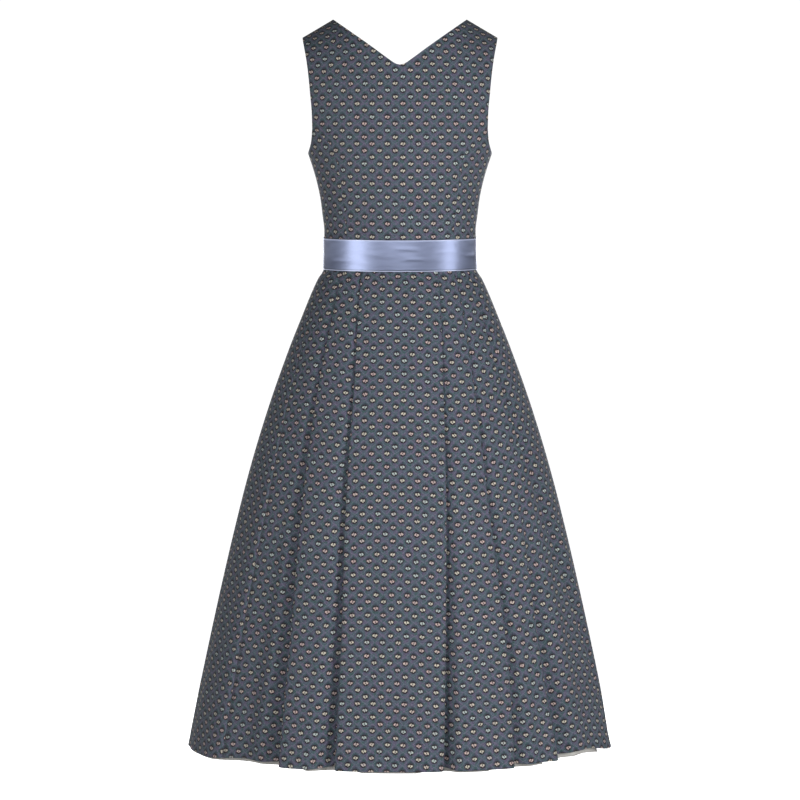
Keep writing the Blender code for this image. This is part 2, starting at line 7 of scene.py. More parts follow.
import math
from collections import namedtuple

import bmesh
import bpy
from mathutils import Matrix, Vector


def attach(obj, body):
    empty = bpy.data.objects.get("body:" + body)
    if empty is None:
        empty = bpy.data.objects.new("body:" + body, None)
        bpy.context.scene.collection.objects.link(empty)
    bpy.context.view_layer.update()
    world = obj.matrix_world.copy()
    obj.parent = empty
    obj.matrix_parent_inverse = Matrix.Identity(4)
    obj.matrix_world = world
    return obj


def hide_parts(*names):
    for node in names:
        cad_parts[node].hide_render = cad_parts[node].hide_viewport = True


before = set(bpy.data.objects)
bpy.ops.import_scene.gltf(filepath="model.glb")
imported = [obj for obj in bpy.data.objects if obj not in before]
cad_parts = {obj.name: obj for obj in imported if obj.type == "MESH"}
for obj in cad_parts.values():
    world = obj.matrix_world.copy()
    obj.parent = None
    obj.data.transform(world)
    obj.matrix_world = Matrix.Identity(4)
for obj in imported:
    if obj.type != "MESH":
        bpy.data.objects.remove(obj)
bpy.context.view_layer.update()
bpy.ops.object.select_all(action="DESELECT")


# ---------------------------------------------------------------------------------------------------
# The bodice is cut from printed cotton with a fused backing: one back between two princess seams, two
# side backs, two side fronts and two fronts, with the straps cut on. Each piece is a thin shell on the
# body's form, its edges turned and pressed, and the print runs straight down each piece.

BODICE_CLOTH = 0.0013
PRESSED_EDGE = BODICE_CLOTH * 0.4
SEAM_GAP = 0.000002  # sewn edge to edge, with no light between
SEAM_TURN = SEAM_GAP / 2 / 0.1
WAIST = -0.385
SHOULDER_ARCH = -0.200
NECK_POINT = 0.1064
SHOULDER_TIP = 0.1555
SHOULDER_SLOPE = 0.59
ARCH_POWER = 2.5
BODY_FLATNESS = 0.85

BodiceRing = namedtuple("BodiceRing", "level half_width back_depth front_depth")
BODICE_RINGS = [BodiceRing(*row) for row in (
    (-1.00, 0.1211, 0.0955, 0.0985),
    (-0.74, 0.1211, 0.0962, 0.1030),
    (-0.60, 0.1240, 0.0980, 0.1100),
    (-0.46, 0.1273, 0.1000, 0.1175),
    (-0.32, 0.1328, 0.1025, 0.1250),
    (-0.18, 0.1402, 0.1050, 0.1290),
    (-0.07, 0.1470, 0.1065, 0.1290),
    (0.00, 0.1510, 0.1072, 0.1275),
    (0.30, 0.1720, 0.1080, 0.1180),
    (0.60, 0.1840, 0.1070, 0.1100),
    (1.00, 0.1900, 0.1000, 0.1000),
)]

# Pattern outlines on one half: distance from the centre line and height of each point
SHOULDER = ((NECK_POINT, 0.0), (SHOULDER_TIP, -SHOULDER_SLOPE * (SHOULDER_TIP - NECK_POINT)))
UNDERARM = (0.1470, -0.2128)
BACK_SEAM_TOP = (0.1391, -0.1720)
FRONT_SEAM_TOP = (0.1310, -0.1640)
BACK_NECK = ((0.0, -0.0722), (0.0060, -0.0708), (0.0130, -0.0668), (0.0496, -0.0400), SHOULDER[0])
FRONT_NECK = ((0.0, -0.1500), (0.0060, -0.1465), (0.0130, -0.1375), (0.0500, -0.0780), SHOULDER[0])
BACK_ARMHOLE_TOP = (
    BACK_SEAM_TOP, (0.1399, -0.1440), (0.1423, -0.1180),
    (0.1447, -0.0930), (0.1484, -0.0650), SHOULDER[1],
)
FRONT_ARMHOLE_TOP = (
    FRONT_SEAM_TOP, (0.1312, -0.1380), (0.1345, -0.1050),
    (0.1395, -0.0720), (0.1450, -0.0500), SHOULDER[1],
)
BACK_ARMHOLE_FOOT = (BACK_SEAM_TOP, (0.1412, -0.1940), (0.1445, -0.2060), UNDERARM)
FRONT_ARMHOLE_FOOT = (FRONT_SEAM_TOP, (0.1345, -0.1880), (0.1405, -0.2050), UNDERARM)
BACK_PRINCESS = (
    (0.0830, WAIST), (0.0842, -0.3470), (0.0915, -0.2780),
    (0.1030, -0.2110), (0.1190, -0.1890), BACK_SEAM_TOP,
)
FRONT_PRINCESS = (
    (0.0760, WAIST), (0.0790, -0.3400), (0.0860, -0.2800),
    (0.0930, -0.2300), (0.1080, -0.1880), FRONT_SEAM_TOP,
)
PRINCESS_STEPS = 34
ARMHOLE_STEPS = 24
UNDERARM_STEPS = 14
SHOULDER_STEPS = 8
NECK_STEPS = 26
NECK_EVENNESS = 0.55  # the neckline's points are closer together at its foot
ARC_STEPS = 10

# Soft pulls in the bodice cloth: a place across and up the pattern, their reach and how far they sink
PULL_FADE = 4  # how fast the pulls die out up to the shoulder
PULL_SIDE_POWER = 0.3  # and round to the side seams
Pull = namedtuple("Pull", "across height wide tall lean depth")
BACK_PULLS = [Pull(*row) for row in (
    (0.118, -0.210, 0.010, 0.040, 0.35, 0.0010),
    (-0.120, -0.205, 0.011, 0.045, -0.30, 0.0012),
    (0.040, -0.335, 0.030, 0.007, 0.10, 0.0006),
    (-0.046, -0.330, 0.034, 0.008, -0.08, 0.0007),
    (0.000, -0.120, 0.014, 0.060, 0.05, 0.0006),
    (-0.085, -0.100, 0.012, 0.055, 0.55, 0.0007),
    (0.088, -0.095, 0.012, 0.055, -0.50, 0.0006),
)]
FRONT_PULLS = [Pull(*row) for row in (
    (0.095, -0.190, 0.012, 0.035, 0.40, 0.0010),
    (-0.098, -0.195, 0.012, 0.038, -0.35, 0.0009),
    (0.050, -0.300, 0.028, 0.012, 0.20, 0.0008),
    (-0.050, -0.305, 0.030, 0.012, -0.15, 0.0008),
)]


def mix(start, end, share):
    return start + (end - start) * share


def eased(t):
    """0 to 1 with level ends."""
    t = min(max(t, 0.0), 1.0)
    return t * t * (3 - 2 * t)


def evenly(start, end, steps):
    return [mix(start, end, i / steps) for i in range(steps + 1)]


def running_length(points):
    """How far along its line each point lies."""
    lengths = [0.0]
    for a, b in zip(points, points[1:]):
        lengths.append(lengths[-1] + math.dist(a, b))
    return lengths


def curve(keys, values, slope, at):
    """The value at a place on a smooth curve through values at keys, with a slope at each of them."""
    i = max(k for k in range(len(keys) - 1) if keys[k] <= at)
    step = keys[i + 1] - keys[i]
    t = (at - keys[i]) / step
    return (
        (2 * t**3 - 3 * t**2 + 1) * values[i]
        + (t**3 - 2 * t**2 + t) * slope(i) * step
        + (3 * t**2 - 2 * t**3) * values[i + 1]
        + (t**3 - t**2) * slope(i + 1) * step
    )


def read(rows, at, column):
    """The value of a column at a place between a table's rows, on a smooth curve through them."""
    keys = [row[0] for row in rows]
    values = [getattr(row, column) if isinstance(column, str) else row[column] for row in rows]
    steps = [(values[k + 1] - values[k]) / (keys[k + 1] - keys[k]) for k in range(len(keys) - 1)]

    def slope(k):
        before, after = steps[max(k - 1, 0)], steps[min(k, len(steps) - 1)]
        return 2 * before * after / (before + after) if before * after > 0 else 0.0

    return curve(keys, values, slope, min(max(at, keys[0]), keys[-1]))


def smooth_line(points, shares):
    """Points at these shares of the length of a smooth curve through a pattern outline's points."""
    lengths = running_length(points)

    def coordinate(values, at):
        def slope(k):
            a, b = max(k - 1, 0), min(k + 1, len(values) - 1)
            return (values[b] - values[a]) / (lengths[b] - lengths[a])

        return curve(lengths, values, slope, at)

    return [tuple(coordinate(values, share * lengths[-1]) for values in zip(*points)) for share in shares]


class Dye:
    """A number or colour on its way through a material's nodes, which Python operators combine."""

    def __init__(self, tree, socket=None):
        self.tree, self.socket = tree, socket

    def feed(self, node, inputs):
        """Sets a node's inputs, and links those that are dyes."""
        for place, value in inputs.items():
            if isinstance(value, Dye):
                self.tree.links.new(value.socket, node.inputs[place])
            else:
                node.inputs[place].default_value = value

    def node(self, kind, inputs=None, output=0, **settings):
        made = self.tree.nodes.new("ShaderNode" + kind)
        for name, value in settings.items():
            setattr(made, name, value)
        self.feed(made, inputs or {})
        return Dye(self.tree, made.outputs[output])

    def output(self, place):
        return Dye(self.tree, self.socket.node.outputs[place])

    def math(self, operation, *values):
        return self.node("Math", dict(enumerate((self, *values))), operation=operation)

    def __add__(self, other):
        return self.math("ADD", other)

    def __sub__(self, other):
        return self.math("SUBTRACT", other)

    def __rsub__(self, other):
        return self * -1 + other

    def __mul__(self, other):
        return self.math("MULTIPLY", other)

    def __abs__(self):
        return self.math("ABSOLUTE")

    def wave(self, length):
        """A sine wave of this length."""
        return (self * (2 * math.pi / length)).math("SINE")

    def under(self, edge, soft):
        """1 below the edge and 0 above it, over a soft border."""
        borders = {0: self, 1: edge + soft / 2, 2: edge - soft / 2, 3: 0.0, 4: 1.0}
        return self.node("MapRange", borders, interpolation_type="SMOOTHSTEP")

    def over(self, edge, soft):
        return 1 - self.under(edge, soft)

    def mixed(self, share, start, end, blend="MIX"):
        inputs = {0: share, 6: start, 7: end}
        return self.node("Mix", inputs, output=2, data_type="RGBA", blend_type=blend)

    def tinted(self, start, end):
        """A colour between two others, with this number as the share of the second."""
        return self.mixed(self, start, end)

    def noise(self, scale, detail=2.0):
        inputs = {"Vector": self, "Scale": scale, "Detail": detail}
        return self.node("TexNoise", inputs, noise_dimensions="2D")

    def bump(self, strength, distance):
        return self.node("Bump", {"Strength": strength, "Distance": distance, "Height": self})


def new_cloth(name):
    """A cloth's material, its cloth places, and how far across and how far down each lies."""
    material = bpy.data.materials.new(name)
    material.use_nodes = True
    cloth = Dye(material.node_tree).node("UVMap", uv_map="cloth")
    across = cloth.node("SeparateXYZ", {0: cloth})
    return material, cloth, across, across.output(1)


def finished(material, inputs):
    """The material, with its surface's inputs set."""
    Dye(material.node_tree).feed(material.node_tree.nodes["Principled BSDF"], inputs)
    return material


def rgb(red, green, blue):
    return (red, green, blue, 1.0)


# The print: medallions with a small flower in a lattice of lozenges, sizes in millimetres
REPEAT_ACROSS = 24.5
REPEAT_DOWN = 21.1
LATTICE_SPACING = 1 / math.hypot(1 / REPEAT_ACROSS, 1 / REPEAT_DOWN)
LATTICE_HALF_LINE = 0.50
LATTICE_SOFT = 0.5
LATTICE_WAVE = 0.05
LATTICE_STRENGTH = 0.6
MEDALLION_RADIUS = 4.4
MEDALLION_RING = 5.3
MEDALLION_SOFT = 0.7
MEDALLION_SQUASH = 1.12
CORE_RADIUS = 2.6
CORE_SOFT = 1.2
CORE_STRENGTH = 0.6
PEAK_SLOPE = (0.65, 0.76)
PEAK_REACH = 6.3
PEAK_SOFT = 1.4
PEAK_FOOT = (-2.0, 3.0)  # where it fades out, and how softly
PEAK_STRENGTH = 0.7
PETALS = ((-2.10, -0.20, 1.60), (2.15, 0.00, 1.65), (-0.55, 1.85, 1.00), (1.00, -1.60, 0.80))  # x, y, radius
PETAL_SOFT = 0.45
PETAL_RAGGEDNESS = 1.8
PETAL_NOISE = 650.0
FLECK_NOISE = 420.0
FLOWER_EYE = 0.55
FLOWER_EYE_SOFT = 0.4
GROUND = rgb(0.120, 0.160, 0.208)
GROUND_GREEN = rgb(0.078, 0.146, 0.148)
GROUND_VIOLET = rgb(0.160, 0.142, 0.226)
STAINS = ((190.0, 0.52, GROUND_GREEN), (150.0, 0.54, GROUND_VIOLET))  # noise scale, edge, colour
STAIN_SOFT = 0.14
LATTICE = rgb(0.235, 0.250, 0.330)
PEAK = rgb(0.040, 0.072, 0.088)
RING = rgb(0.078, 0.058, 0.074)
MEDALLION = rgb(0.020, 0.019, 0.024)
CORE = rgb(0.095, 0.075, 0.078)
CREAM = rgb(0.86, 0.80, 0.66)
ROSE = rgb(0.82, 0.62, 0.58)
MINT = rgb(0.70, 0.78, 0.74)
ROSE_EDGE = (0.52, 0.25)  # the chance it starts at, and how softly
MINT_EDGE = (0.80, 0.1)
WHITE = rgb(1.0, 1.0, 1.0)
GRAIN_DARK = rgb(0.45, 0.47, 0.50)
GRAIN_SHARE = 0.85
SLUB_NOISE = 900.0
MOTTLE_NOISE = 430.0
BACKING_NOISE = 700.0
REVERSE_GROUND = rgb(0.15, 0.16, 0.18)
BACKING_DARK = rgb(0.10, 0.11, 0.13)
BACKING_PALE = rgb(0.17, 0.18, 0.21)
THREAD = 0.0006  # metres from one thread to the next
THREAD_RELIEF = 0.0003
HEM_DEPTH = 0.070
Stitch = namedtuple("Stitch", "from_hem pitch half_width width_soft half_length length_soft")
HEM_STITCH = Stitch(HEM_DEPTH, 0.009, 0.0006, 0.0004, 0.16, 0.06)  # lengths are shares of the pitch
STITCH_STRENGTH = 0.75


def stitched(across, stitch):
    """1 on the thread of a row of hem stitches, and 0 beside it."""
    from_hem = across.node("Attribute", attribute_name="from_hem", output=2)
    line = abs(from_hem - stitch.from_hem).under(stitch.half_width, stitch.width_soft)
    along = abs((across * (1 / stitch.pitch)).math("FRACT") - 0.5)
    return line * along.under(stitch.half_length, stitch.length_soft)


def printed_cotton(name, strength=1.0, hem_stitches=False):
    """Plain-woven cotton with its print. A strength under 1 is the paler reverse of the cloth."""
    material, cloth, across, down = new_cloth(name)
    row = across * (1000 / REPEAT_ACROSS)
    column = down * (1000 / REPEAT_DOWN)
    rising, falling = row + column, row - column
    rising_cell, falling_cell = rising.math("ROUND"), falling.math("ROUND")
    rising, falling = rising - rising_cell, falling - falling_cell
    x = (rising + falling) * (REPEAT_ACROSS / 2)
    y = (rising - falling) * (REPEAT_DOWN / 2)

    near_rising = abs(abs(rising + falling.wave(1) * LATTICE_WAVE) - 0.5)
    near_falling = abs(abs(falling + rising.wave(1) * LATTICE_WAVE) - 0.5)
    nearest = near_rising.math("MINIMUM", near_falling) * LATTICE_SPACING
    lattice = nearest.under(LATTICE_HALF_LINE, LATTICE_SOFT)
    peak = (abs(x) * PEAK_SLOPE[0] - y * PEAK_SLOPE[1]).under(PEAK_REACH, PEAK_SOFT) * y.under(*PEAK_FOOT)
    reach = (x * x + y * y * MEDALLION_SQUASH).math("SQRT")

    cell = cloth.node("CombineXYZ", {0: rising_cell, 1: falling_cell})
    chance = cell.node("TexWhiteNoise", {"Vector": cell}, noise_dimensions="2D")
    turned = x * ((chance * 7.0).math("FRACT").math("ROUND") * 2 - 1)  # some flowers face the other way
    flower = None
    for petal_x, petal_y, radius in PETALS:
        beside, below = turned - petal_x, y - petal_y
        away = (beside * beside + below * below).math("SQRT") - radius
        flower = away if flower is None else flower.math("MINIMUM", away)
    ragged = (cloth.noise(PETAL_NOISE, 1.0) - 0.5) * PETAL_RAGGEDNESS
    flower = (flower + ragged).under(0.0, PETAL_SOFT) * reach.over(FLOWER_EYE, FLOWER_EYE_SOFT)
    flecks = cloth.noise(FLECK_NOISE, 1.0)
    petals = (chance * 0.6 + flecks * 0.5).over(*ROSE_EDGE).tinted(CREAM, ROSE)
    petals = chance.over(*MINT_EDGE).tinted(petals, MINT)

    colour = GROUND
    for scale, edge, stain in STAINS:
        colour = cloth.noise(scale).over(edge, STAIN_SOFT).tinted(colour, stain)
    for layer, ink in (
        (peak * PEAK_STRENGTH, PEAK),
        (lattice * LATTICE_STRENGTH, LATTICE),
        (reach.under(MEDALLION_RING, MEDALLION_SOFT), RING),
        (reach.under(MEDALLION_RADIUS, MEDALLION_SOFT), MEDALLION),
        (reach.under(CORE_RADIUS, CORE_SOFT) * CORE_STRENGTH, CORE),
        (flower, petals),
    ):
        colour = layer.tinted(colour, ink)

    weave = across.wave(THREAD) * down.wave(THREAD)
    slubs = cloth.noise(SLUB_NOISE) - 0.5
    mottle = cloth.noise(MOTTLE_NOISE, 1.0) - 0.5
    faded = (mottle * 1.8 + slubs * 0.4 + weave * 0.06 + 0.5).math("MAXIMUM", 0.0)
    colour = colour.mixed(GRAIN_SHARE, colour, faded.tinted(GRAIN_DARK, WHITE), "MULTIPLY")
    if hem_stitches:
        colour = (stitched(across, HEM_STITCH) * STITCH_STRENGTH).tinted(colour, MEDALLION)
    if strength < 1:
        colour = colour.mixed(strength, REVERSE_GROUND, colour)
    return finished(
        material,
        {
            "Base Color": colour,
            "Roughness": slubs * 0.12 + 0.84,
            "Normal": (weave * 0.5 + slubs).bump(0.18, THREAD_RELIEF),
            "Specular IOR Level": 0.25,
            "Sheen Weight": 0.08,
            "Sheen Roughness": 0.5,
        },
    )


def plain_backing(name):
    """The fused cotton backing on the bodice's inside."""
    material, cloth, across, down = new_cloth(name)
    threads = across.wave(THREAD) * down.wave(THREAD)
    slubs = cloth.noise(BACKING_NOISE) - 0.5
    colour = (slubs + threads * 0.1 + 0.5).tinted(BACKING_DARK, BACKING_PALE)
    bump = (threads * 0.5 + slubs).bump(0.25, THREAD_RELIEF)
    return finished(material, {"Base Color": colour, "Roughness": 0.9, "Normal": bump})


def gaps(places):
    """The cloth places of the two sides of each gap between columns, for rows of cloth places."""
    return [[(row[i], row[i + 1]) for row in places] for i in range(len(places[0]) - 1)]


def cloth_piece(name, points, prints, materials, wall, offset, hem=None):
    """A cloth wall over rows of points. prints[gap][row] holds the cloth places of that gap's two sides."""
    mesh = bpy.data.meshes.new(name)
    built = bmesh.new()
    rows = [[built.verts.new(point) for point in row] for row in points]
    places = built.loops.layers.uv.new("cloth")
    for j in range(len(rows) - 1):
        for i in range(len(rows[0]) - 1):
            face = built.faces.new((rows[j][i], rows[j + 1][i], rows[j + 1][i + 1], rows[j][i + 1]))
            corners = (prints[i][j][0], prints[i][j + 1][0], prints[i][j + 1][1], prints[i][j][1])
            for loop, place in zip(face.loops, corners):
                loop[places].uv = place
            face.smooth = True
    built.to_mesh(mesh)
    built.free()
    if hem:
        values = mesh.attributes.new("from_hem", "FLOAT", "POINT")
        values.data.foreach_set("value", [value for row in hem for value in row])
    piece = bpy.data.objects.new(name, mesh)
    bpy.context.scene.collection.objects.link(piece)
    for material in materials:
        mesh.materials.append(material)
    wall_modifier = piece.modifiers.new("Wall", "SOLIDIFY")
    wall_modifier.thickness = wall
    wall_modifier.offset = offset
    wall_modifier.use_even_offset = True
    wall_modifier.material_offset = len(materials) - 1
    return piece


def bodice_relief(across, height, pulls):
    """How far the pulls sink the cloth at a place of the pattern."""
    total = 0.0
    for pull in pulls:
        dx, dz = across - pull.across, height - pull.height
        dx, dz = dx - dz * pull.lean, dz + dx * pull.lean
        total += pull.depth * math.exp(-((dx / pull.wide) ** 2) - (dz / pull.tall) ** 2)
    return total


def bodice_point(angle, level, front, side=1):
    """A point of the bodice's outer face, mirrored to the left half where side is -1."""
    across = read(BODICE_RINGS, level, "half_width") * math.sin(angle)
    depth = read(BODICE_RINGS, level, "front_depth" if front else "back_depth")
    depth *= abs(math.cos(angle)) ** BODY_FLATNESS
    height = SHOULDER_ARCH + level * (SHOULDER_ARCH - WAIST)
    if level > 0:
        climb = math.sin(math.pi / 2 * level)
        top = SHOULDER_SLOPE * (NECK_POINT - across)
        height = mix(SHOULDER_ARCH, top, climb)
        depth = depth * math.sqrt(1 - climb**ARCH_POWER)
    depth += SEAM_GAP / 2
    flat = eased(PULL_FADE * (1 - level)) * abs(math.cos(angle)) ** PULL_SIDE_POWER
    depth -= bodice_relief(across * side, height, FRONT_PULLS if front else BACK_PULLS) * flat
    return Vector((across * side, depth if front else -depth, height))


def bodice_place(across, height, front):
    """The angle and level of a pattern point."""
    level = (height - SHOULDER_ARCH) / (SHOULDER_ARCH - WAIST)
    if height > SHOULDER_ARCH:
        top = SHOULDER_SLOPE * (NECK_POINT - across)
        climb = min((height - SHOULDER_ARCH) / (top - SHOULDER_ARCH), 1.0)
        level = math.asin(climb) * 2 / math.pi
    angle = math.asin(min(across / read(BODICE_RINGS, level, "half_width"), 1.0))
    return (math.pi - angle if front else angle), level


def cloth_place(angle, level, front, side):
    """Where a bodice point lies on its flat cloth: round from the centre line, and down from the shoulder."""
    start = math.pi if front else 0.0
    ring = [bodice_point(turn, level, front) for turn in evenly(start, angle, ARC_STEPS)]
    rise = [bodice_point(angle, step, front) for step in evenly(0.0, level, ARC_STEPS)]
    up = running_length(rise)[-1] * (1 if level > 0 else -1)
    return running_length(ring)[-1] * side * (-1 if front else 1), -SHOULDER_ARCH - up


def blend(a, b, share):
    return tuple(mix(x, y, share) for x, y in zip(a, b))


def between(a, b, shares):
    return [blend(a, b, share) for share in shares]


def patch(bottom, top, start, end):
    """Fills four outlines with a grid: bottom and top run round the body, start and end run up it."""
    grid = []
    for j, v in enumerate(evenly(0, 1, len(start) - 1)):
        row = []
        for i, u in enumerate(evenly(0, 1, len(bottom) - 1)):
            corners = blend(blend(bottom[0], bottom[-1], u), blend(top[0], top[-1], u), v)
            lines = zip(blend(bottom[i], top[i], v), blend(start[j], end[j], u), corners)
            row.append(tuple(upward + across - corner for upward, across, corner in lines))
        grid.append(row)
    return grid


def shares_of(line):
    """How far along its line each point lies, from 0 to 1."""
    lengths = running_length(line)
    return [length / lengths[-1] for length in lengths]


def to_shoulder(steps):
    """Shares of a line that ends on the shoulder seam, closer together where the cloth turns over it."""
    return [math.sin(t) for t in evenly(0, math.pi / 2, steps)]


def off_waist(line):
    return [(across, max(height, WAIST + SEAM_GAP / 2)) for across, height in line]


def panel_to_centre(neck, armhole_top, princess, front):
    """Places of the panel between the centre line and the princess seam, with its strap."""
    centre_line = SEAM_GAP / 2 if front else 0.0
    seam = off_waist(smooth_line(princess, evenly(0, 1, PRINCESS_STEPS)))
    seam = [(across - SEAM_GAP / 2, height) for across, height in seam]
    outer = seam + smooth_line(armhole_top, to_shoulder(ARMHOLE_STEPS))[1:]
    neck_shares = [mix(t * t, t, NECK_EVENNESS) for t in evenly(0, 1, NECK_STEPS)]
    top = smooth_line(neck, neck_shares) + smooth_line(SHOULDER, evenly(0, 1, SHOULDER_STEPS))[1:]
    top[0] = (centre_line, top[0][1])
    centre = between((centre_line, seam[0][1]), top[0], shares_of(outer))
    bottom = between(centre[0], outer[0], shares_of(top))
    grid = patch(bottom, top, centre, outer)
    return [[bodice_place(*place, front) for place in row] for row in grid]


def panel_to_side(armhole_foot, princess, front):
    """Places of the panel between the princess seam and the side seam."""
    turn = -SEAM_TURN if front else SEAM_TURN
    side_angle = math.pi / 2 - turn

    def places(line):
        return [bodice_place(across, height, front) for across, height in line]

    seam = places(off_waist(smooth_line(princess, evenly(0, 1, PRINCESS_STEPS))))
    seam = [(angle + turn, level) for angle, level in seam]
    top = places(smooth_line(armhole_foot, evenly(0, 1, UNDERARM_STEPS)))
    top[0] = seam[-1]
    top[-1] = (side_angle, top[-1][1])
    side = between((side_angle, seam[0][1]), top[-1], evenly(0, 1, PRINCESS_STEPS))
    bottom = between(seam[0], side[0], evenly(0, 1, UNDERARM_STEPS))
    return patch(bottom, top, seam, side)


def bodice_piece(node, halves, front, grain, flat, area):
    """Sews up one bodice piece. Halves lists the (places, side) grids that make it, from left to right."""
    points, places = None, None
    for grid, side in halves:
        grid = grid[::-1]
        new_points = [[bodice_point(*place, front, side) for place in row] for row in grid]
        new_places = [[cloth_place(*place, front, side) for place in row] for row in grid]
        if (side == -1) != front:
            new_points = [row[::-1] for row in new_points]
            new_places = [row[::-1] for row in new_places]
        if points is None:
            points, places = new_points, new_places
        else:
            points = [a[:-1] + b for a, b in zip(points, new_points)]
            places = [a[:-1] + b for a, b in zip(places, new_places)]
    shift_across, shift_down = grain
    places = [[(u + shift_across, v + shift_down) for u, v in row] for row in places]
    materials = (bodice_print, backing)
    piece = cloth_piece(node + "_cloth", points, gaps(places), materials, BODICE_CLOTH, -1)
    edges = piece.modifiers.new("Pressed edges", "BEVEL")
    edges.width = PRESSED_EDGE
    edges.segments = 2
    edges.limit_method = "ANGLE"
    edges.angle_limit = math.radians(60)
    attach(piece, "root")
    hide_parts(node)
    return piece


bodice_print = printed_cotton("bodice_print")
backing = plain_backing("bodice_backing")
BACK_CUT = ((0.361, 0.428), 0.0916)  # the piece's flat width and length, and its area
SIDE_BACK_CUT = ((0.116, 0.217), 0.0168)
FRONT_CUT = ((0.181, 0.435), 0.0393)
SIDE_FRONT_CUT = ((0.140, 0.226), 0.0201)

centre_back = panel_to_centre(BACK_NECK, BACK_ARMHOLE_TOP, BACK_PRINCESS, False)
side_back = panel_to_side(BACK_ARMHOLE_FOOT, BACK_PRINCESS, False)
centre_front = panel_to_centre(FRONT_NECK, FRONT_ARMHOLE_TOP, FRONT_PRINCESS, True)
side_front = panel_to_side(FRONT_ARMHOLE_FOOT, FRONT_PRINCESS, True)
bodice_piece("bodice_back", [(centre_back, -1), (centre_back, 1)], False, (0.0076, 0.004), *BACK_CUT)
for node, grid, front, left_grain, right_grain, cut in (
    ("bodice_side_back", side_back, False, (0.0030, 0.009), (0.0125, 0.001), SIDE_BACK_CUT),
    ("bodice_front", centre_front, True, (0.0060, 0.002), (0.0060, 0.002), FRONT_CUT),
    ("bodice_side_front", side_front, True, (0.0100, 0.006), (0.0040, 0.008), SIDE_FRONT_CUT),
):
    bodice_piece(node + "_left", [(grid, -1)], front, left_grain, *cut)
    bodice_piece(node + "_right", [(grid, 1)], front, right_grain, *cut)


# ---------------------------------------------------------------------------------------------------
# The skirt is three widths of the same printed cotton, laid in deep pleats that are pressed flat under
# the waist and open towards the hem. The print runs straight down each face beside one line of it, such
# as the middle of the centre panel, a pleat's crest or a seam. The hem is turned up 70 mm and stitched.

SKIRT_CLOTH = 0.0004
SKIRT_WALL = 0.0010  # the room kept for the cloth and its seams
HEM = -1.167
SkirtRing = namedtuple("SkirtRing", "fall half_width back_depth front_depth flatness")
SKIRT_RINGS = [SkirtRing(*row) for row in (
    (0.000, 0.1219, 0.0962, 0.0992, 0.85),
    (0.018, 0.1226, 0.0968, 0.0998, 0.85),
    (0.034, 0.1305, 0.1034, 0.1072, 0.86),
    (0.060, 0.1402, 0.1112, 0.1160, 0.88),
    (0.121, 0.1597, 0.1262, 0.1330, 0.91),
    (0.183, 0.1790, 0.1405, 0.1490, 0.94),
    (0.306, 0.2128, 0.1660, 0.1770, 1.00),
    (0.430, 0.2420, 0.1880, 0.2010, 1.00),
    (0.552, 0.2664, 0.2062, 0.2210, 1.00),
    (0.676, 0.2890, 0.2226, 0.2400, 1.00),
    (0.801, 0.3104, 0.2385, 0.2580, 1.00),
    (0.926, 0.3309, 0.2538, 0.2740, 1.00),
    (1.000, 0.3422, 0.2620, 0.2830, 1.00),
)]

# Pleats from the centre back to the centre front on each side: the edge's angles at PLEAT_FALLS, and
# sizes at the hem. Panel is how many columns the face that leads to the pleat is divided into.
PLEAT_FALLS = (0.0, 0.10, 0.25, 0.50, 0.75, 1.0)
Pleat = namedtuple("Pleat", "name angles underlay edge_height valley rise lift power panel")
RIGHT_PLEATS = [Pleat(*row) for row in (
    ("right_a", (30, 25.0, 20.2, 16.5, 13.8, 11.6), 0.014, 0.0055, 0.022, 0.026, 0.004, 1.3, 6),
    ("right_b", (46, 41.0, 36.6, 33.6, 33.7, 31.9), 0.015, 0.0060, 0.024, 0.045, 0.004, 1.4, 6),
    ("right_c", (62, 57.5, 54.5, 63.0, 75.0, 85.0), 0.016, 0.0060, 0.026, 0.055, 0.004, 0.8, 12),
    ("right_e", (86, 86.0, 90.0, 97.0, 104.0, 110.0), 0.015, 0.0055, 0.024, 0.045, 0.004, 1.2, 8),
    ("right_f", (112, 112.0, 115.0, 121.0, 127.0, 131.0), 0.016, 0.0060, 0.026, 0.040, 0.005, 1.3, 8),
    ("right_g", (138, 138.0, 140.0, 145.0, 149.0, 152.0), 0.014, 0.0055, 0.022, 0.045, 0.004, 1.1, 8),
)]
LEFT_PLEATS = [Pleat(*row) for row in (
    ("left_a", (30, 25.5, 21.6, 19.6, 17.9, 17.5), 0.014, 0.0055, 0.024, 0.048, 0.004, 1.2, 8),
    ("left_b", (48, 44.0, 41.2, 38.0, 35.4, 34.3), 0.016, 0.0065, 0.030, 0.050, 0.004, 1.1, 6),
    ("left_e", (96, 94.0, 93.0, 93.0, 95.0, 97.0), 0.015, 0.0055, 0.024, 0.045, 0.004, 1.2, 16),
    ("left_f", (118, 117.0, 117.0, 119.0, 122.0, 125.0), 0.015, 0.0060, 0.025, 0.045, 0.005, 1.3, 8),
    ("left_g", (140, 139.0, 140.0, 143.0, 147.0, 150.0), 0.016, 0.0055, 0.023, 0.045, 0.004, 1.2, 8),
)]
WAIST_UNDERLAY = 0.018
WAIST_EDGE_HEIGHT = 0.0007
WAIST_EDGE_LENGTH = 0.0012
WAIST_VALLEY = 4 * WAIST_EDGE_HEIGHT
WAIST_RISE = 0.010
HEM_EDGE_LENGTH = 0.0065
EDGE_STEPS = 10
UNDER_STEPS = 2
INNER_STEPS = 8
RETURN_STEPS = 2
RISE_STEPS = 10
SLIT_PANEL = 10
SEAM_PANEL = 8

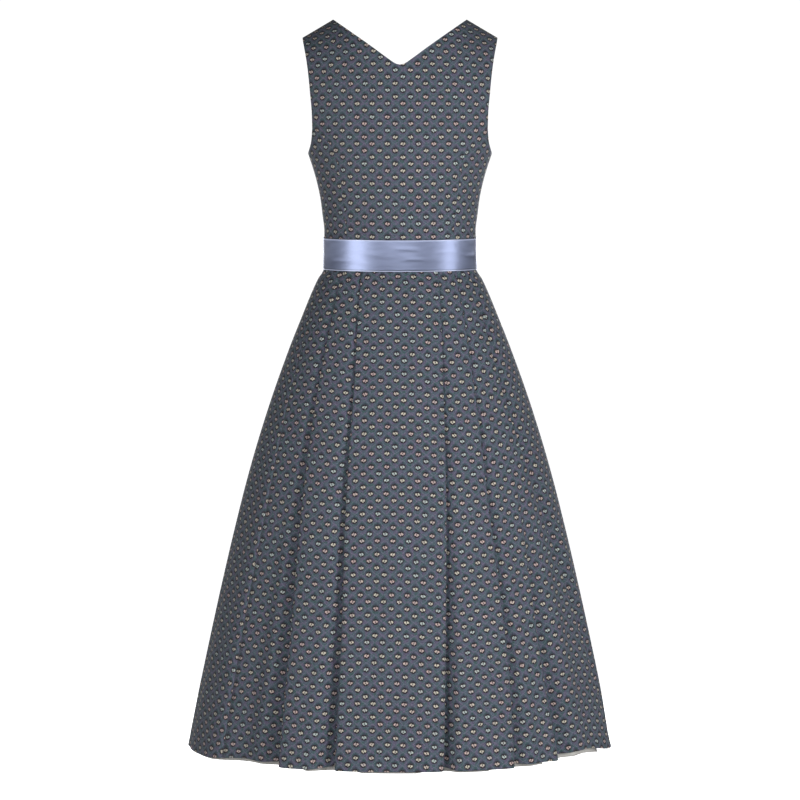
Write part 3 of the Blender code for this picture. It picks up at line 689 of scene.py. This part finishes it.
SEAM_ANGLES = (76, 67.0, 60.4, 56.8, 57.2, 57.2)
CENTRE_GRAIN = (0, -0.4, -0.9, -1.6, -2.3, -3.0)  # the centre panel's grain leans a little to the left
TROUGH_ANGLES = (54, 49.3, 46.0, 48.0, 46.9, 48.3)
TroughPoint = namedtuple("TroughPoint", "across depth")
TROUGH = [TroughPoint(*row) for row in (
    (-0.022, 0.00),
    (-0.007, 0.00),
    (0.000, 0.05),
    (0.005, 0.40),
    (0.010, 0.86),
    (0.016, 1.00),
    (0.027, 0.80),
    (0.042, 0.38),
    (0.060, 0.08),
)]
TROUGH_DEPTH = 0.030
TROUGH_LIFT = 0.004
TROUGH_START = 0.35
TROUGH_TOP_SPREAD = 0.12
TROUGH_STEPS = 24

Swag = namedtuple("Swag", "angle half_turn recess lift")
SWAGS = [Swag(*row) for row in (
    (-48, 17, 0.018, 0.005),
    (43, 11, 0.012, 0.003),
    (64, 20, 0.014, 0.012),
    (94, 24, 0.000, 0.004),
    (118, 18, 0.014, 0.004),
    (158, 16, 0.010, 0.003),
    (-88, 26, 0.000, 0.003),
    (-110, 16, 0.014, 0.004),
    (-150, 18, 0.012, 0.004),
)]
SWAG_POWER = 1.5

# Uneven creases: the angle where each starts and ends, its falls, its half width and how far it sinks
CREASE_POWER = 0.7  # how quickly a crease deepens from its ends
Crease = namedtuple("Crease", "start end top bottom half_width depth")
CREASES = [Crease(*row) for row in (
    (-9, -7, 0.45, 1.15, 0.020, 0.0022),
    (2, 5, 0.30, 1.10, 0.024, 0.0018),
    (-2, -3, 0.70, 1.20, 0.016, 0.0020),
    (8, 8, 0.60, 1.10, 0.014, -0.0015),
    (-25, -28, 0.35, 1.10, 0.018, 0.0018),
    (26, 25, 0.25, 1.10, 0.018, 0.0016),
    (-46, -48, 0.30, 1.15, 0.024, 0.0024),
    (-68, -70, 0.20, 1.10, 0.030, 0.0022),
    (-78, -84, 0.50, 1.20, 0.026, 0.0020),
    (60, 70, 0.35, 1.10, 0.026, 0.0020),
    (58, 76, 0.15, 0.80, 0.018, 0.0012),
    (96, 99, 0.35, 1.10, 0.026, 0.0020),
    (107, 122, 0.30, 1.10, 0.022, 0.0020),
    (132, 140, 0.40, 1.10, 0.020, 0.0018),
    (164, 166, 0.30, 1.15, 0.026, 0.0024),
    (-106, -110, 0.40, 1.15, 0.024, 0.0022),
    (-134, -136, 0.35, 1.10, 0.022, 0.0018),
    (-163, -166, 0.30, 1.15, 0.026, 0.0022),
)]


def ring_point(angle, half_width, back_depth, front_depth, flatness):
    depth = back_depth if math.cos(angle) > 0 else -front_depth
    return Vector((half_width * math.sin(angle), -depth * abs(math.cos(angle)) ** flatness))


def ring_along(angle, sizes):
    """Which way the ring runs at this angle, in metres for each radian."""
    step = 1e-3
    return (ring_point(angle + step, *sizes) - ring_point(angle - step, *sizes)) / (2 * step)


def inside_ring(angle, inset, sizes, height):
    """The point at this height that lies straight in from a ring's point at this angle."""
    along = ring_along(angle, sizes).normalized()
    place = ring_point(angle, *sizes) - Vector((along.y, -along.x)) * inset
    return Vector((place.x, place.y, height))


def skirt_sizes(fall):
    return [read(SKIRT_RINGS, fall, column) for column in SkirtRing._fields[1:]]


def pleat_angle(angles, fall):
    return math.radians(read(tuple(zip(PLEAT_FALLS, angles)), fall, 1))


def ring_radius(angle, sizes):
    """Metres of ring for each radian of angle."""
    return ring_along(angle, sizes).length


def bell(turns):
    """1 at 0, falling smoothly to 0 at -1 and 1."""
    return 0.5 + 0.5 * math.cos(math.pi * min(abs(turns), 1.0))


def swag(angle, column):
    """How far the slack places move the cloth at this angle at the hem."""
    total = 0.0
    for row in SWAGS:
        away = math.remainder(angle - math.radians(row.angle), 2 * math.pi)
        total += getattr(row, column) * bell(away / math.radians(row.half_turn))
    return total


def crease_depth(angle, fall, radius):
    """How far the uneven creases sink the cloth."""
    total = 0.0
    for crease in CREASES:
        if not crease.top < fall < crease.bottom:
            continue
        down = (fall - crease.top) / (crease.bottom - crease.top)
        middle = math.radians(mix(crease.start, crease.end, down))
        away = math.remainder(angle - middle, 2 * math.pi) * radius
        total += crease.depth * bell(away / crease.half_width) * math.sin(math.pi * down) ** CREASE_POWER
    return total


# A guide is the column that a face's print runs along; faces count outwards from the centre back
PathPoint = namedtuple("PathPoint", "angle inset lift face guide", defaults=(False,))


def pleat_sizes(pleat, fall):
    """A pleat's underlay, edge length, edge height, valley and rise at this fall."""
    open_ = fall**pleat.power
    return (
        mix(WAIST_UNDERLAY, pleat.underlay, fall),
        mix(WAIST_EDGE_LENGTH, HEM_EDGE_LENGTH, open_),
        mix(WAIST_EDGE_HEIGHT, pleat.edge_height, open_),
        mix(WAIST_VALLEY, pleat.valley, open_),
        mix(WAIST_RISE, pleat.rise, open_),
    )


def pleat_path(pleat, fall, sizes, face, guides=True):
    """A pleat's cross-section. The cloth beyond its inner turn belongs to the next face."""
    underlay, length, height, valley, rise = pleat_sizes(pleat, fall)
    inner = min(height, (valley - 2 * height) / 2)
    points = []
    for k, t in enumerate(evenly(0, math.pi, EDGE_STEPS)):
        crest = guides and k == EDGE_STEPS // 2
        points.append((-length * (1 - math.sin(t)), height * (1 - math.cos(t)), face, crest))
    start, end = (-length, 2 * height), (-underlay + length, valley - 2 * inner)
    for t in evenly(0, 1, UNDER_STEPS + 1)[1:-1]:
        points.append((mix(start[0], end[0], t), mix(start[1], end[1], t), face, False))
    for k, t in enumerate(evenly(0, math.pi, INNER_STEPS)):
        beyond = face + (1 if k >= INNER_STEPS // 2 else 0)
        across, inset = -underlay + length * (1 - math.sin(t)), valley - inner * (1 + math.cos(t))
        points.append((across, inset, beyond, False))
    for t in evenly(0, 1, RETURN_STEPS + 1)[1:-1]:
        points.append((mix(-underlay + length, 0.0, t), valley, face + 1, False))
    for t in evenly(0, 1, RISE_STEPS):
        points.append((rise * t, valley * (1 - eased(t)), face + 1, False))
    edge = pleat_angle(pleat.angles, fall)
    radius = ring_radius(edge, sizes)
    lift = pleat.lift / pleat.valley
    return [PathPoint(edge + across / radius, inset, lift * inset, *rest) for across, inset, *rest in points]


def trough_opened(fall):
    """How far the trough has opened at this fall, from 0 to 1."""
    return eased((fall - TROUGH_START) / (1 - TROUGH_START))


def trough_path(fall, sizes, face):
    """The trough that opens low on the right, with no cloth turned under."""
    edge = pleat_angle(TROUGH_ANGLES, fall)
    radius = ring_radius(edge, sizes)
    spread = mix(TROUGH_TOP_SPREAD, 1.0, eased(fall))
    depth = TROUGH_DEPTH * trough_opened(fall)
    path = []
    for k, across in enumerate(evenly(TROUGH[0].across, TROUGH[-1].across, TROUGH_STEPS)):
        share = max(read(TROUGH, across, "depth"), 0.0)
        guide = k == TROUGH_STEPS
        turn = across * spread / radius
        path.append(PathPoint(edge + turn, depth * share, TROUGH_LIFT * share, face, guide))
    return path


def half_path(pleats, fall, sizes, centre, trough_after=None, seam_before=None, cut_pleat=None):
    """One side of the skirt from the centre back to the centre front, as parts that seams divide."""
    parts = [[PathPoint(centre, 0.0, 0.0, 0, True)]]
    face = 0

    def carry_on(points, columns):
        start = parts[-1][-1]
        for angle in evenly(start.angle, points[0].angle, columns)[1:-1]:
            parts[-1].append(PathPoint(angle, 0.0, 0.0, face))
        parts[-1].extend(points)

    for pleat in pleats:
        if pleat.name == seam_before:
            seam = pleat_angle(SEAM_ANGLES, fall)
            half_gap = SEAM_GAP / 2 / ring_radius(seam, sizes)
            carry_on([PathPoint(seam - half_gap, 0.0, 0.0, face, True)], SEAM_PANEL)
            face += 1
            parts.append([PathPoint(seam + half_gap, 0.0, 0.0, face)])
        # The centre panel and the one with the trough have a guide of their own
        points = pleat_path(pleat, fall, sizes, face, guides=face > 0 and pleat.name != cut_pleat)
        if pleat.name == cut_pleat:
            before_cut = EDGE_STEPS + 1 + UNDER_STEPS // 2
            a, b = points[before_cut - 1], points[before_cut]
            radius = ring_radius(a.angle, sizes)
            half_gap = SEAM_GAP / 2 / radius
            middle = ((a.angle + b.angle) / 2, (a.inset + b.inset) / 2, (a.lift + b.lift) / 2)
            carry_on(points[:before_cut] + [PathPoint(middle[0] + half_gap, *middle[1:], face)], pleat.panel)
            parts.append([PathPoint(middle[0] - half_gap, *middle[1:], face + 1)])
            parts[-1].extend(point._replace(face=face + 1) for point in points[before_cut:])
        else:
            carry_on(points, pleat.panel)
        face += 1
        if pleat.name == trough_after:
            carry_on(trough_path(fall, sizes, face), 3)
    slit = math.pi - SEAM_GAP / 2 / ring_radius(math.pi, sizes)
    carry_on([PathPoint(slit, 0.0, 0.0, face, True)], SLIT_PANEL)
    return parts


def skirt_row(points, fall, sizes):
    """The middle of the cloth along a cross-section at this fall."""
    row = []
    for point in points:
        hang = swag(point.angle, "recess") * fall**SWAG_POWER + crease_depth(point.angle, fall, sizes[0])
        hem = HEM + swag(point.angle, "lift") + point.lift
        height = mix(WAIST - SEAM_GAP / 2, hem, fall)
        row.append(inside_ring(point.angle, point.inset + SKIRT_WALL / 2 + hang, sizes, height))
    return row


def turned_under(row, inset):
    """A row of points moved to the cloth's inner side."""
    moved = []
    for i, point in enumerate(row):
        a, b = row[max(i - 1, 0)], row[min(i + 1, len(row) - 1)]
        along = Vector((b.x - a.x, b.y - a.y)).normalized()
        moved.append(point + Vector((-along.y, along.x, 0.0)) * inset)
    return moved


# Rows from the waist to the hem, and then up inside the turned hem
SKIRT_FALLS = (
    [0.0, 0.009, 0.018, 0.026, 0.034, 0.044, 0.056, 0.07]
    + evenly(0.085, 0.90, 52)
    + [0.9137, 0.93, 0.945, 0.96, 0.974, 0.986, 0.995, 1.0]
)
HEM_FALLS = SKIRT_FALLS[:-9:-1]  # the last eight, from the fold up
HEM_TURN = 0.0009  # between the middles of the two layers


def mirrored(part):
    """A part of the path on the left side, from left to right."""
    return [point._replace(angle=-point.angle, face=-point.face) for point in reversed(part)]


def skirt_widths(fall, sizes):
    """The cross-sections of the skirt's three widths, each from left to right."""
    lean = pleat_angle(CENTRE_GRAIN, fall)
    right = half_path(RIGHT_PLEATS, fall, sizes, lean, trough_after="right_b", cut_pleat="right_c")
    left = half_path(LEFT_PLEATS, fall, sizes, -lean, seam_before="left_e")
    return {
        "skirt_back": mirrored(left[0])[:-1] + right[0],
        "skirt_front_right": right[1],
        "skirt_front_left": mirrored(left[1]),
    }


LEAN_ROWS = 2  # above and below, for measuring how a column leans


def guide_leans(parts, rows, guide):
    """How far a guide column drifts round the body for each metre down it, at each fall."""
    leans = {}
    for j, fall in enumerate(SKIRT_FALLS):
        round_body = ring_along(parts[j][guide].angle, skirt_sizes(fall)).normalized()
        drift = rows[min(j + LEAN_ROWS, len(SKIRT_FALLS) - 1)][guide] - rows[max(j - LEAN_ROWS, 0)][guide]
        leans[fall] = drift.xy.dot(round_body) / drift.length
    return leans


def pleated_prints(parts, rows, falls, starts):
    """Each gap's cloth places: square to the face's guide column, and curved with the skirt's flare."""
    columns = parts[0]
    guides = {point.face: i for i, point in enumerate(columns) if point.guide}
    leans = {face: guide_leans(parts, rows, i) for face, i in guides.items()}
    down = {face: running_length([row[i] for row in rows]) for face, i in guides.items()}
    round_ = [running_length(row) for row in rows]
    prints = []
    for i, (a, b) in enumerate(zip(columns, columns[1:])):
        face = min(a.face, b.face, key=abs)
        guide = guides[face]
        start_across, start_down = starts[face % len(starts)]
        gap = []
        for j, fall in enumerate(falls):
            places = []
            for column in (i, i + 1):
                away = round_[j][column] - round_[j][guide]
                curve = away * away / (2 * mix(WAIST_TO_APEX, HEM_TO_APEX, fall))
                square = away * leans[face][fall]
                places.append((away + start_across, down[face][j] + start_down + square - curve))
            gap.append(places)
        prints.append(gap)
    return prints


def distances_from_hem(rows, fold):
    """How far along the cloth each point lies from the row that is the hem's fold."""
    columns = [running_length(column) for column in zip(*rows)]
    return [[abs(column[fold] - column[j]) for column in columns] for j in range(len(rows))]


def turned_hem(rows, falls):
    """Adds the hem's turn to the rows: round the fold and back up inside."""
    fold = turned_under(rows[-1], HEM_TURN / 2)
    turn = [[point - Vector((0.0, 0.0, HEM_TURN / 2)) for point in fold]]
    inner = {fall: turned_under(rows[falls.index(fall)], HEM_TURN) for fall in HEM_FALLS}
    return rows + turn + [inner[fall] for fall in HEM_FALLS], falls + [1.0] + HEM_FALLS


WAIST_TO_APEX = 0.45  # from the skirt's rings to the point of the cone they lie on
HEM_TO_APEX = 1.26
PRINT_STARTS = ((0.0030, 0.0), (0.0100, 0.0070), (0.0180, 0.0120), (0.0075, 0.0165), (0.0210, 0.0040))
# Flat width and length with the hem's turn, and the area of the flared cut
SKIRT_BACK_CUT = ((0.967, 0.908), 0.610)
SKIRT_FRONT_RIGHT_CUT = ((0.676, 0.897), 0.508)
SKIRT_FRONT_LEFT_CUT = ((0.770, 0.898), 0.519)

skirt_print = printed_cotton("skirt_print", hem_stitches=True)
skirt_reverse = printed_cotton("skirt_print_reverse", strength=0.45)
skirt_sections = []
for fall in SKIRT_FALLS:
    sizes = skirt_sizes(fall)
    widths = skirt_widths(fall, sizes)
    skirt_sections.append({node: (part, skirt_row(part, fall, sizes)) for node, part in widths.items()})

for node, (flat, area) in (
    ("skirt_back", SKIRT_BACK_CUT),
    ("skirt_front_right", SKIRT_FRONT_RIGHT_CUT),
    ("skirt_front_left", SKIRT_FRONT_LEFT_CUT),
):
    parts = [section[node][0] for section in skirt_sections]
    rows, falls = turned_hem([section[node][1] for section in skirt_sections], list(SKIRT_FALLS))
    from_hem = distances_from_hem(rows, len(SKIRT_FALLS) - 1)
    prints = pleated_prints(parts, rows, falls, PRINT_STARTS)
    piece = cloth_piece(node + "_cloth", rows, prints, (skirt_print, skirt_reverse), SKIRT_CLOTH, 0, from_hem)
    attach(piece, "root")
    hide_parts(node)


# ---------------------------------------------------------------------------------------------------
# The lining is a thin off-white plain weave that hangs inside the pleats. It is sewn into the waist seam,
# and its own narrow hem, turned and machine-stitched, shows a few millimetres under the skirt.

LINING_CLOTH = 0.0004
LINING_TOP = 0.004
LINING_DROP = 0.004
LINING_CLEARANCE = 0.0006
LINING_HEM_CLEARANCE = 0.0050
LINING_LIFT = 0.6
LINING_SPREAD = 0.006
LINING_INNER_SLOPE = 0.030
LINING_FLANK_SHARE = 0.7
LINING_RISE_SHARES = (0.4, 0.75, 1.05)
LINING_EDGE_MARGIN = 0.004
LINING_TROUGH_FLANKS = (0.030, 0.045)
LINING_TROUGH_FLAT = 0.020
LINING_TROUGH_COLUMNS = (-0.020, -0.002, 0.020, 0.040, 0.062)
LINING_PLAIN_COLUMNS = (56, 67, 78)
LINING_FALLS = evenly(0.0, 0.95, 44) + [0.965, 0.975, 0.985, 0.9925, 1.0]
LINING_HEM_FALLS = (1.0, 0.9925, 0.985)
LINING_HEM_DEPTH = 0.012
LINING_HEM_TURN = 0.0008  # between the two layers
LINING_STITCH = Stitch(LINING_HEM_DEPTH - 0.0015, 0.0025, 0.0004, 0.0003, 0.36, 0.08)
COLUMN_STEPS = 3
LINING_PALE = rgb(0.87, 0.85, 0.81)
LINING_SHADE = rgb(0.74, 0.72, 0.68)
LINING_THREAD = 0.0005
LINING_NOISE = 500.0


def lining_weave(name):
    """A thin plain weave, with the machine stitches of its own hem."""
    material, cloth, across, down = new_cloth(name)
    threads = across.wave(LINING_THREAD) * down.wave(LINING_THREAD)
    slubs = cloth.noise(LINING_NOISE) - 0.5
    stitch = stitched(across, LINING_STITCH)
    worn = (slubs * 0.9 + threads * 0.12 + stitch * 0.5 + 0.3).math("MAXIMUM", 0.0).math("MINIMUM", 1.0)
    return finished(
        material,
        {
            "Base Color": worn.tinted(LINING_PALE, LINING_SHADE),
            "Roughness": slubs * 0.1 + 0.8,
            "Normal": (threads * 0.4 + slubs - stitch).bump(0.2, THREAD_RELIEF),
            "Specular IOR Level": 0.3,
        },
    )


def lining_dip(across, pleat, fall):
    """How deep the lining has to hang at this distance from a pleat's edge to stay inside the pleat."""
    underlay, _, _, valley, rise = pleat_sizes(pleat, fall)
    if across > 0:
        return valley * (1 - eased((across - LINING_SPREAD) / rise))
    return valley * (1 - eased((-across - underlay - LINING_SPREAD) / LINING_INNER_SLOPE))


def lining_inset(angle, fall, sizes):
    deepest = 0.0
    for pleat in RIGHT_PLEATS if angle > 0 else LEFT_PLEATS:
        edge = pleat_angle(pleat.angles, fall)
        across = (abs(angle) - edge) * ring_radius(edge, sizes)
        deepest = max(deepest, lining_dip(across, pleat, fall))
    if angle > 0:
        edge = pleat_angle(TROUGH_ANGLES, fall)
        across = (angle - edge) * ring_radius(edge, sizes)
        near_flank, far_flank = LINING_TROUGH_FLANKS
        share = eased(across / near_flank + 1) * (1 - eased((across - LINING_TROUGH_FLAT) / far_flank))
        deepest = max(deepest, TROUGH_DEPTH * trough_opened(fall) * share)
    recess = swag(angle, "recess") * fall**SWAG_POWER
    clearance = mix(LINING_CLEARANCE, LINING_HEM_CLEARANCE, eased(2 * fall))
    return SKIRT_WALL + max(deepest, WAIST_VALLEY) + clearance + recess


def lining_angles(pleats, fall, sizes, trough):
    """Columns of the lining on one side, closer together where it dips behind a pleat."""
    angles = []
    for pleat in pleats:
        underlay, _, _, _, rise = pleat_sizes(pleat, fall)
        edge = pleat_angle(pleat.angles, fall)
        radius = ring_radius(edge, sizes)
        inner = -underlay - LINING_EDGE_MARGIN
        flank = inner - LINING_EDGE_MARGIN - LINING_FLANK_SHARE * LINING_INNER_SLOPE * fall
        angles += [edge + across / radius for across in (flank, inner, LINING_EDGE_MARGIN)]
        for t in LINING_RISE_SHARES:
            angles.append(edge + (LINING_SPREAD * fall + rise * t) / radius)
        if trough and pleat.name == "right_b":
            centre = pleat_angle(TROUGH_ANGLES, fall)
            reach = mix(TROUGH_TOP_SPREAD, 1.0, eased(fall)) / ring_radius(centre, sizes)
            angles += [centre + across * reach for across in LINING_TROUGH_COLUMNS]
    if not trough:
        angles += [math.radians(angle) for angle in LINING_PLAIN_COLUMNS]
    angles.sort()
    even = evenly(0, math.pi, len(angles) + 1)[1:-1]
    return [mix(e, a, fall) for e, a in zip(even, angles)]


lining_rows = []
for fall in LINING_FALLS:
    sizes = skirt_sizes(fall)
    left = [-angle for angle in reversed(lining_angles(LEFT_PLEATS, fall, sizes, False))]
    right = lining_angles(RIGHT_PLEATS, fall, sizes, True)
    edges = [-math.pi + SEAM_TURN] + left + [0.0] + right + [math.pi - SEAM_TURN]
    angles = [edges[0]]
    for start, end in zip(edges, edges[1:]):
        angles += evenly(start, end, COLUMN_STEPS)[1:]
    row = []
    for angle in angles:
        hem = HEM - LINING_DROP + swag(angle, "lift") * LINING_LIFT
        height = mix(WAIST - LINING_TOP, hem, fall)
        row.append(inside_ring(angle, lining_inset(angle, fall, sizes), sizes, height))
    lining_rows.append(row)
inner = [lining_rows[LINING_FALLS.index(fall)] for fall in LINING_HEM_FALLS]
rows = lining_rows + [turned_under(row, LINING_HEM_TURN) for row in inner]
from_hem = distances_from_hem(rows, len(lining_rows) - 1)
middle = len(rows[0]) // 2
down = running_length([row[middle] for row in rows])
places = []
for row, below in zip(rows, down):
    lengths = running_length(row)
    places.append([(length - lengths[middle], below) for length in lengths])
lining_cloth = lining_weave("lining_cloth")
piece = cloth_piece("skirt_lining_cloth", rows, gaps(places), (lining_cloth,), LINING_CLOTH, -1, from_hem)
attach(piece, "root")
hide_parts("skirt_lining")


# ---------------------------------------------------------------------------------------------------
# The ribbon is 50 mm of grey-blue satin with a corded edge on each side, drawn flat round the waist over
# the seam and lapped at the hidden centre front. It is caught down by hand along both edges.

RIBBON_CLOTH = 0.0006
RIBBON_TOP = -0.3467
RIBBON_BOTTOM = -0.3972
RibbonRing = namedtuple("RibbonRing", "down half_width back_depth front_depth")
RIBBON_RINGS = [RibbonRing(*row) for row in (
    (0.0, 0.1232, 0.0978, 0.1050),
    (0.5, 0.1233, 0.0976, 0.1012),
    (1.0, 0.1241, 0.0984, 0.1014),
)]
RIBBON_LAP = math.radians(10)
RIBBON_LAP_RISE = math.radians(22)
RIBBON_LAP_OUT = 0.0013
RIBBON_BOW = 0.0010
RIBBON_COLUMNS = 300
RIBBON_CUT = (0.76, 0.0505)
CORD_FROM_EDGE = 0.0012
CORD_HALF_WIDTH = 0.0007
CORD_HEIGHT = 0.00035
CORD_SOFT = 0.0005
# how strongly the painted highlight along each cord tints the satin
CORD_HIGHLIGHT_STRENGTH = 0.7
SoftCrease = namedtuple("SoftCrease", "angle half_turn down half_width depth")
RIBBON_CREASES = [SoftCrease(*row) for row in (
    (4, 14, 0.30, 0.10, 0.0004),
    (10, 12, 0.62, 0.08, 0.0003),
    (-22, 14, 0.48, 0.12, 0.0003),
    (-48, 18, 0.70, 0.09, 0.0003),
    (38, 16, 0.40, 0.10, 0.0003),
    (70, 20, 0.55, 0.12, 0.0004),
    (120, 24, 0.42, 0.11, 0.0004),
    (-110, 22, 0.58, 0.10, 0.0004),
)]
SATIN = rgb(0.228, 0.265, 0.408)
SATIN_LIGHT = rgb(0.254, 0.292, 0.436)
# the paler colour of the painted highlight along the cords
SATIN_CORD_HIGHLIGHT = rgb(0.480, 0.520, 0.660)
SATIN_FLOATS = (60.0, 3000.0)  # noise scales along the ribbon and across it
SATIN_RIPPLES = (26.0, 70.0)


def ribbon_satin_dye(name):
    """Satin floats that run along the ribbon, with a highlight painted in a paler colour along each corded
    edge.
    """
    material, cloth, across, down = new_cloth(name)

    def stretched(scales, detail):
        return cloth.node("CombineXYZ", {0: across * scales[0], 1: down * scales[1]}).noise(1.0, detail)

    floats = stretched(SATIN_FLOATS, 1.0) - 0.5
    edge = down.math("MINIMUM", RIBBON_CUT[1] - down)
    # the cords are tinted paler: a painted highlight along each edge of the ribbon
    cord = abs(edge - CORD_FROM_EDGE).under(CORD_HALF_WIDTH, CORD_SOFT)
    satin = (floats + 0.5).tinted(SATIN, SATIN_LIGHT)
    return finished(
        material,
        {
            "Base Color": (cord * CORD_HIGHLIGHT_STRENGTH).tinted(satin, SATIN_CORD_HIGHLIGHT),
            "Roughness": floats * 0.06 + 0.36,
            "Metallic": 0.75,  # the floats mirror the light as if it were silvered
            "Normal": (stretched(SATIN_RIPPLES, 1.5) + floats * 0.01).bump(0.35, 0.0012),
            "Specular IOR Level": 0.6,
            "Sheen Weight": 0.15,
            "Sheen Roughness": 0.35,
        },
    )


def ribbon_relief(angle, down):
    """How far the ribbon stands out: its two cords, less its soft creases."""
    from_edge = min(down, 1 - down) * RIBBON_CUT[1]
    out = CORD_HEIGHT * bell((from_edge - CORD_FROM_EDGE) / (2 * CORD_HALF_WIDTH))
    for crease in RIBBON_CREASES:
        away = math.remainder(angle - math.radians(crease.angle), 2 * math.pi)
        along = bell(away / math.radians(crease.half_turn))
        out -= crease.depth * along * bell((down - crease.down) / crease.half_width)
    return out


cord_rows = [0.0, 0.008, 0.016, 0.024, 0.032, 0.040, 0.050]
ribbon_downs = cord_rows + evenly(0.08, 0.92, 22) + [1 - down for down in reversed(cord_rows)]
ribbon_angles = evenly(-math.pi - RIBBON_LAP, math.pi + RIBBON_LAP, RIBBON_COLUMNS)
rows = []
for down in ribbon_downs:
    sizes = [read(RIBBON_RINGS, down, column) for column in RibbonRing._fields[1:]] + [BODY_FLATNESS]
    row = []
    for angle in ribbon_angles:
        climb = eased((angle - math.pi + RIBBON_LAP + RIBBON_LAP_RISE) / RIBBON_LAP_RISE)
        out = climb * RIBBON_LAP_OUT + ribbon_relief(angle, down)
        bow = RIBBON_BOW * max(math.cos(angle), 0.0)
        row.append(inside_ring(angle, -out, sizes, mix(RIBBON_TOP, RIBBON_BOTTOM, down) - bow))
    rows.append(row)
lengths = running_length(rows[len(rows) // 2])
places = [[(length, down * RIBBON_CUT[1]) for length in lengths] for down in ribbon_downs]
satin = ribbon_satin_dye("ribbon_satin")
piece = cloth_piece("waist_ribbon_cloth", rows, gaps(places), (satin,), RIBBON_CLOTH, -1)
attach(piece, "root")
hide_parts("waist_ribbon")


# ---------------------------------------------------------------------------------------------------
# The studio: a pale floor under the dress, which hangs clear of it, white surroundings, a soft light to
# each side of the camera, the right one stronger, a low one in front, a tall pale panel further round
# on each side that adds gleams and no other light, and two soft lights on the dress's far side.

FLOOR = -1.45
FLOOR_SIZE = 30.0
FLOOR_PALE = rgb(0.95, 0.95, 0.95)
SEEN_WHITE = 1.05
SURROUND_LIGHT = 0.07
LIGHTS_TARGET = (0.0, 0.0, -0.62)
VIEW_TARGET = (0.0, 0.0, -0.608)
VIEW_FROM = (0.0, -6.5, -0.12)
VIEW_LENS = 182.8
VIEW_SENSOR = 36.0

bpy.ops.mesh.primitive_plane_add(size=FLOOR_SIZE, location=(0.0, 0.0, FLOOR))
floor = bpy.context.object
floor.name = "studio_floor"
pale = bpy.data.materials.new("studio_floor")
pale.use_nodes = True
glow = {"Emission Color": WHITE, "Emission Strength": SEEN_WHITE}
floor.data.materials.append(finished(pale, {"Base Color": FLOOR_PALE, "Roughness": 0.9, **glow}))
floor.visible_diffuse = False  # it throws no light up under the skirt
floor.visible_shadow = False

world = bpy.data.worlds.new("studio_white")
world.use_nodes = True
seen = Dye(world.node_tree).node("LightPath")  # the surroundings look white, and light the dress less
strength = seen * (SEEN_WHITE - SURROUND_LIGHT) + SURROUND_LIGHT
seen.feed(world.node_tree.nodes["Background"], {"Color": WHITE, "Strength": strength})
bpy.context.scene.world = world
bpy.context.scene.view_settings.view_transform = "Standard"

Softbox = namedtuple("Softbox", "name azimuth distance height width tall watts lights gleams")
SOFTBOXES = [Softbox(*row) for row in (
    ("softbox_right", 38, 2.4, -0.35, 0.5, 1.4, 31.0, True, False),
    ("softbox_left", -30, 2.4, -0.35, 0.5, 1.4, 17.0, True, False),
    ("softbox_front", 2, 4.2, -0.95, 2.0, 1.4, 18.0, True, True),
    ("panel_right", 60, 2.4, -0.50, 0.8, 2.2, 20.0, False, True),
    ("panel_left", -50, 2.4, -0.50, 1.1, 2.2, 27.0, False, True),
    ("far_right", 165, 2.4, -0.35, 0.6, 1.4, 26.0, True, True),
    ("far_left", -165, 2.4, -0.35, 0.6, 1.4, 18.0, True, True),
)]


def placed(name, data, place, target):
    """A lamp or camera, put in the scene and turned to its target."""
    thing = bpy.data.objects.new(name, data)
    thing.location = place
    thing.rotation_euler = (Vector(target) - thing.location).to_track_quat("-Z", "Y").to_euler()
    bpy.context.scene.collection.objects.link(thing)
    return thing


for box in SOFTBOXES:
    turn = math.radians(box.azimuth)
    at = (box.distance * math.sin(turn), -box.distance * math.cos(turn), box.height)
    light = bpy.data.lights.new(box.name, "AREA")
    light.shape = "RECTANGLE"
    light.size, light.size_y = box.width, box.tall
    light.energy = box.watts
    lamp = placed(box.name, light, at, LIGHTS_TARGET)
    lamp.visible_camera = False
    lamp.visible_diffuse = box.lights
    lamp.visible_glossy = box.gleams

lens = bpy.data.cameras.new("photo_view")
lens.lens = VIEW_LENS
lens.sensor_width = VIEW_SENSOR
bpy.context.scene.camera = placed("photo_view", lens, VIEW_FROM, VIEW_TARGET)
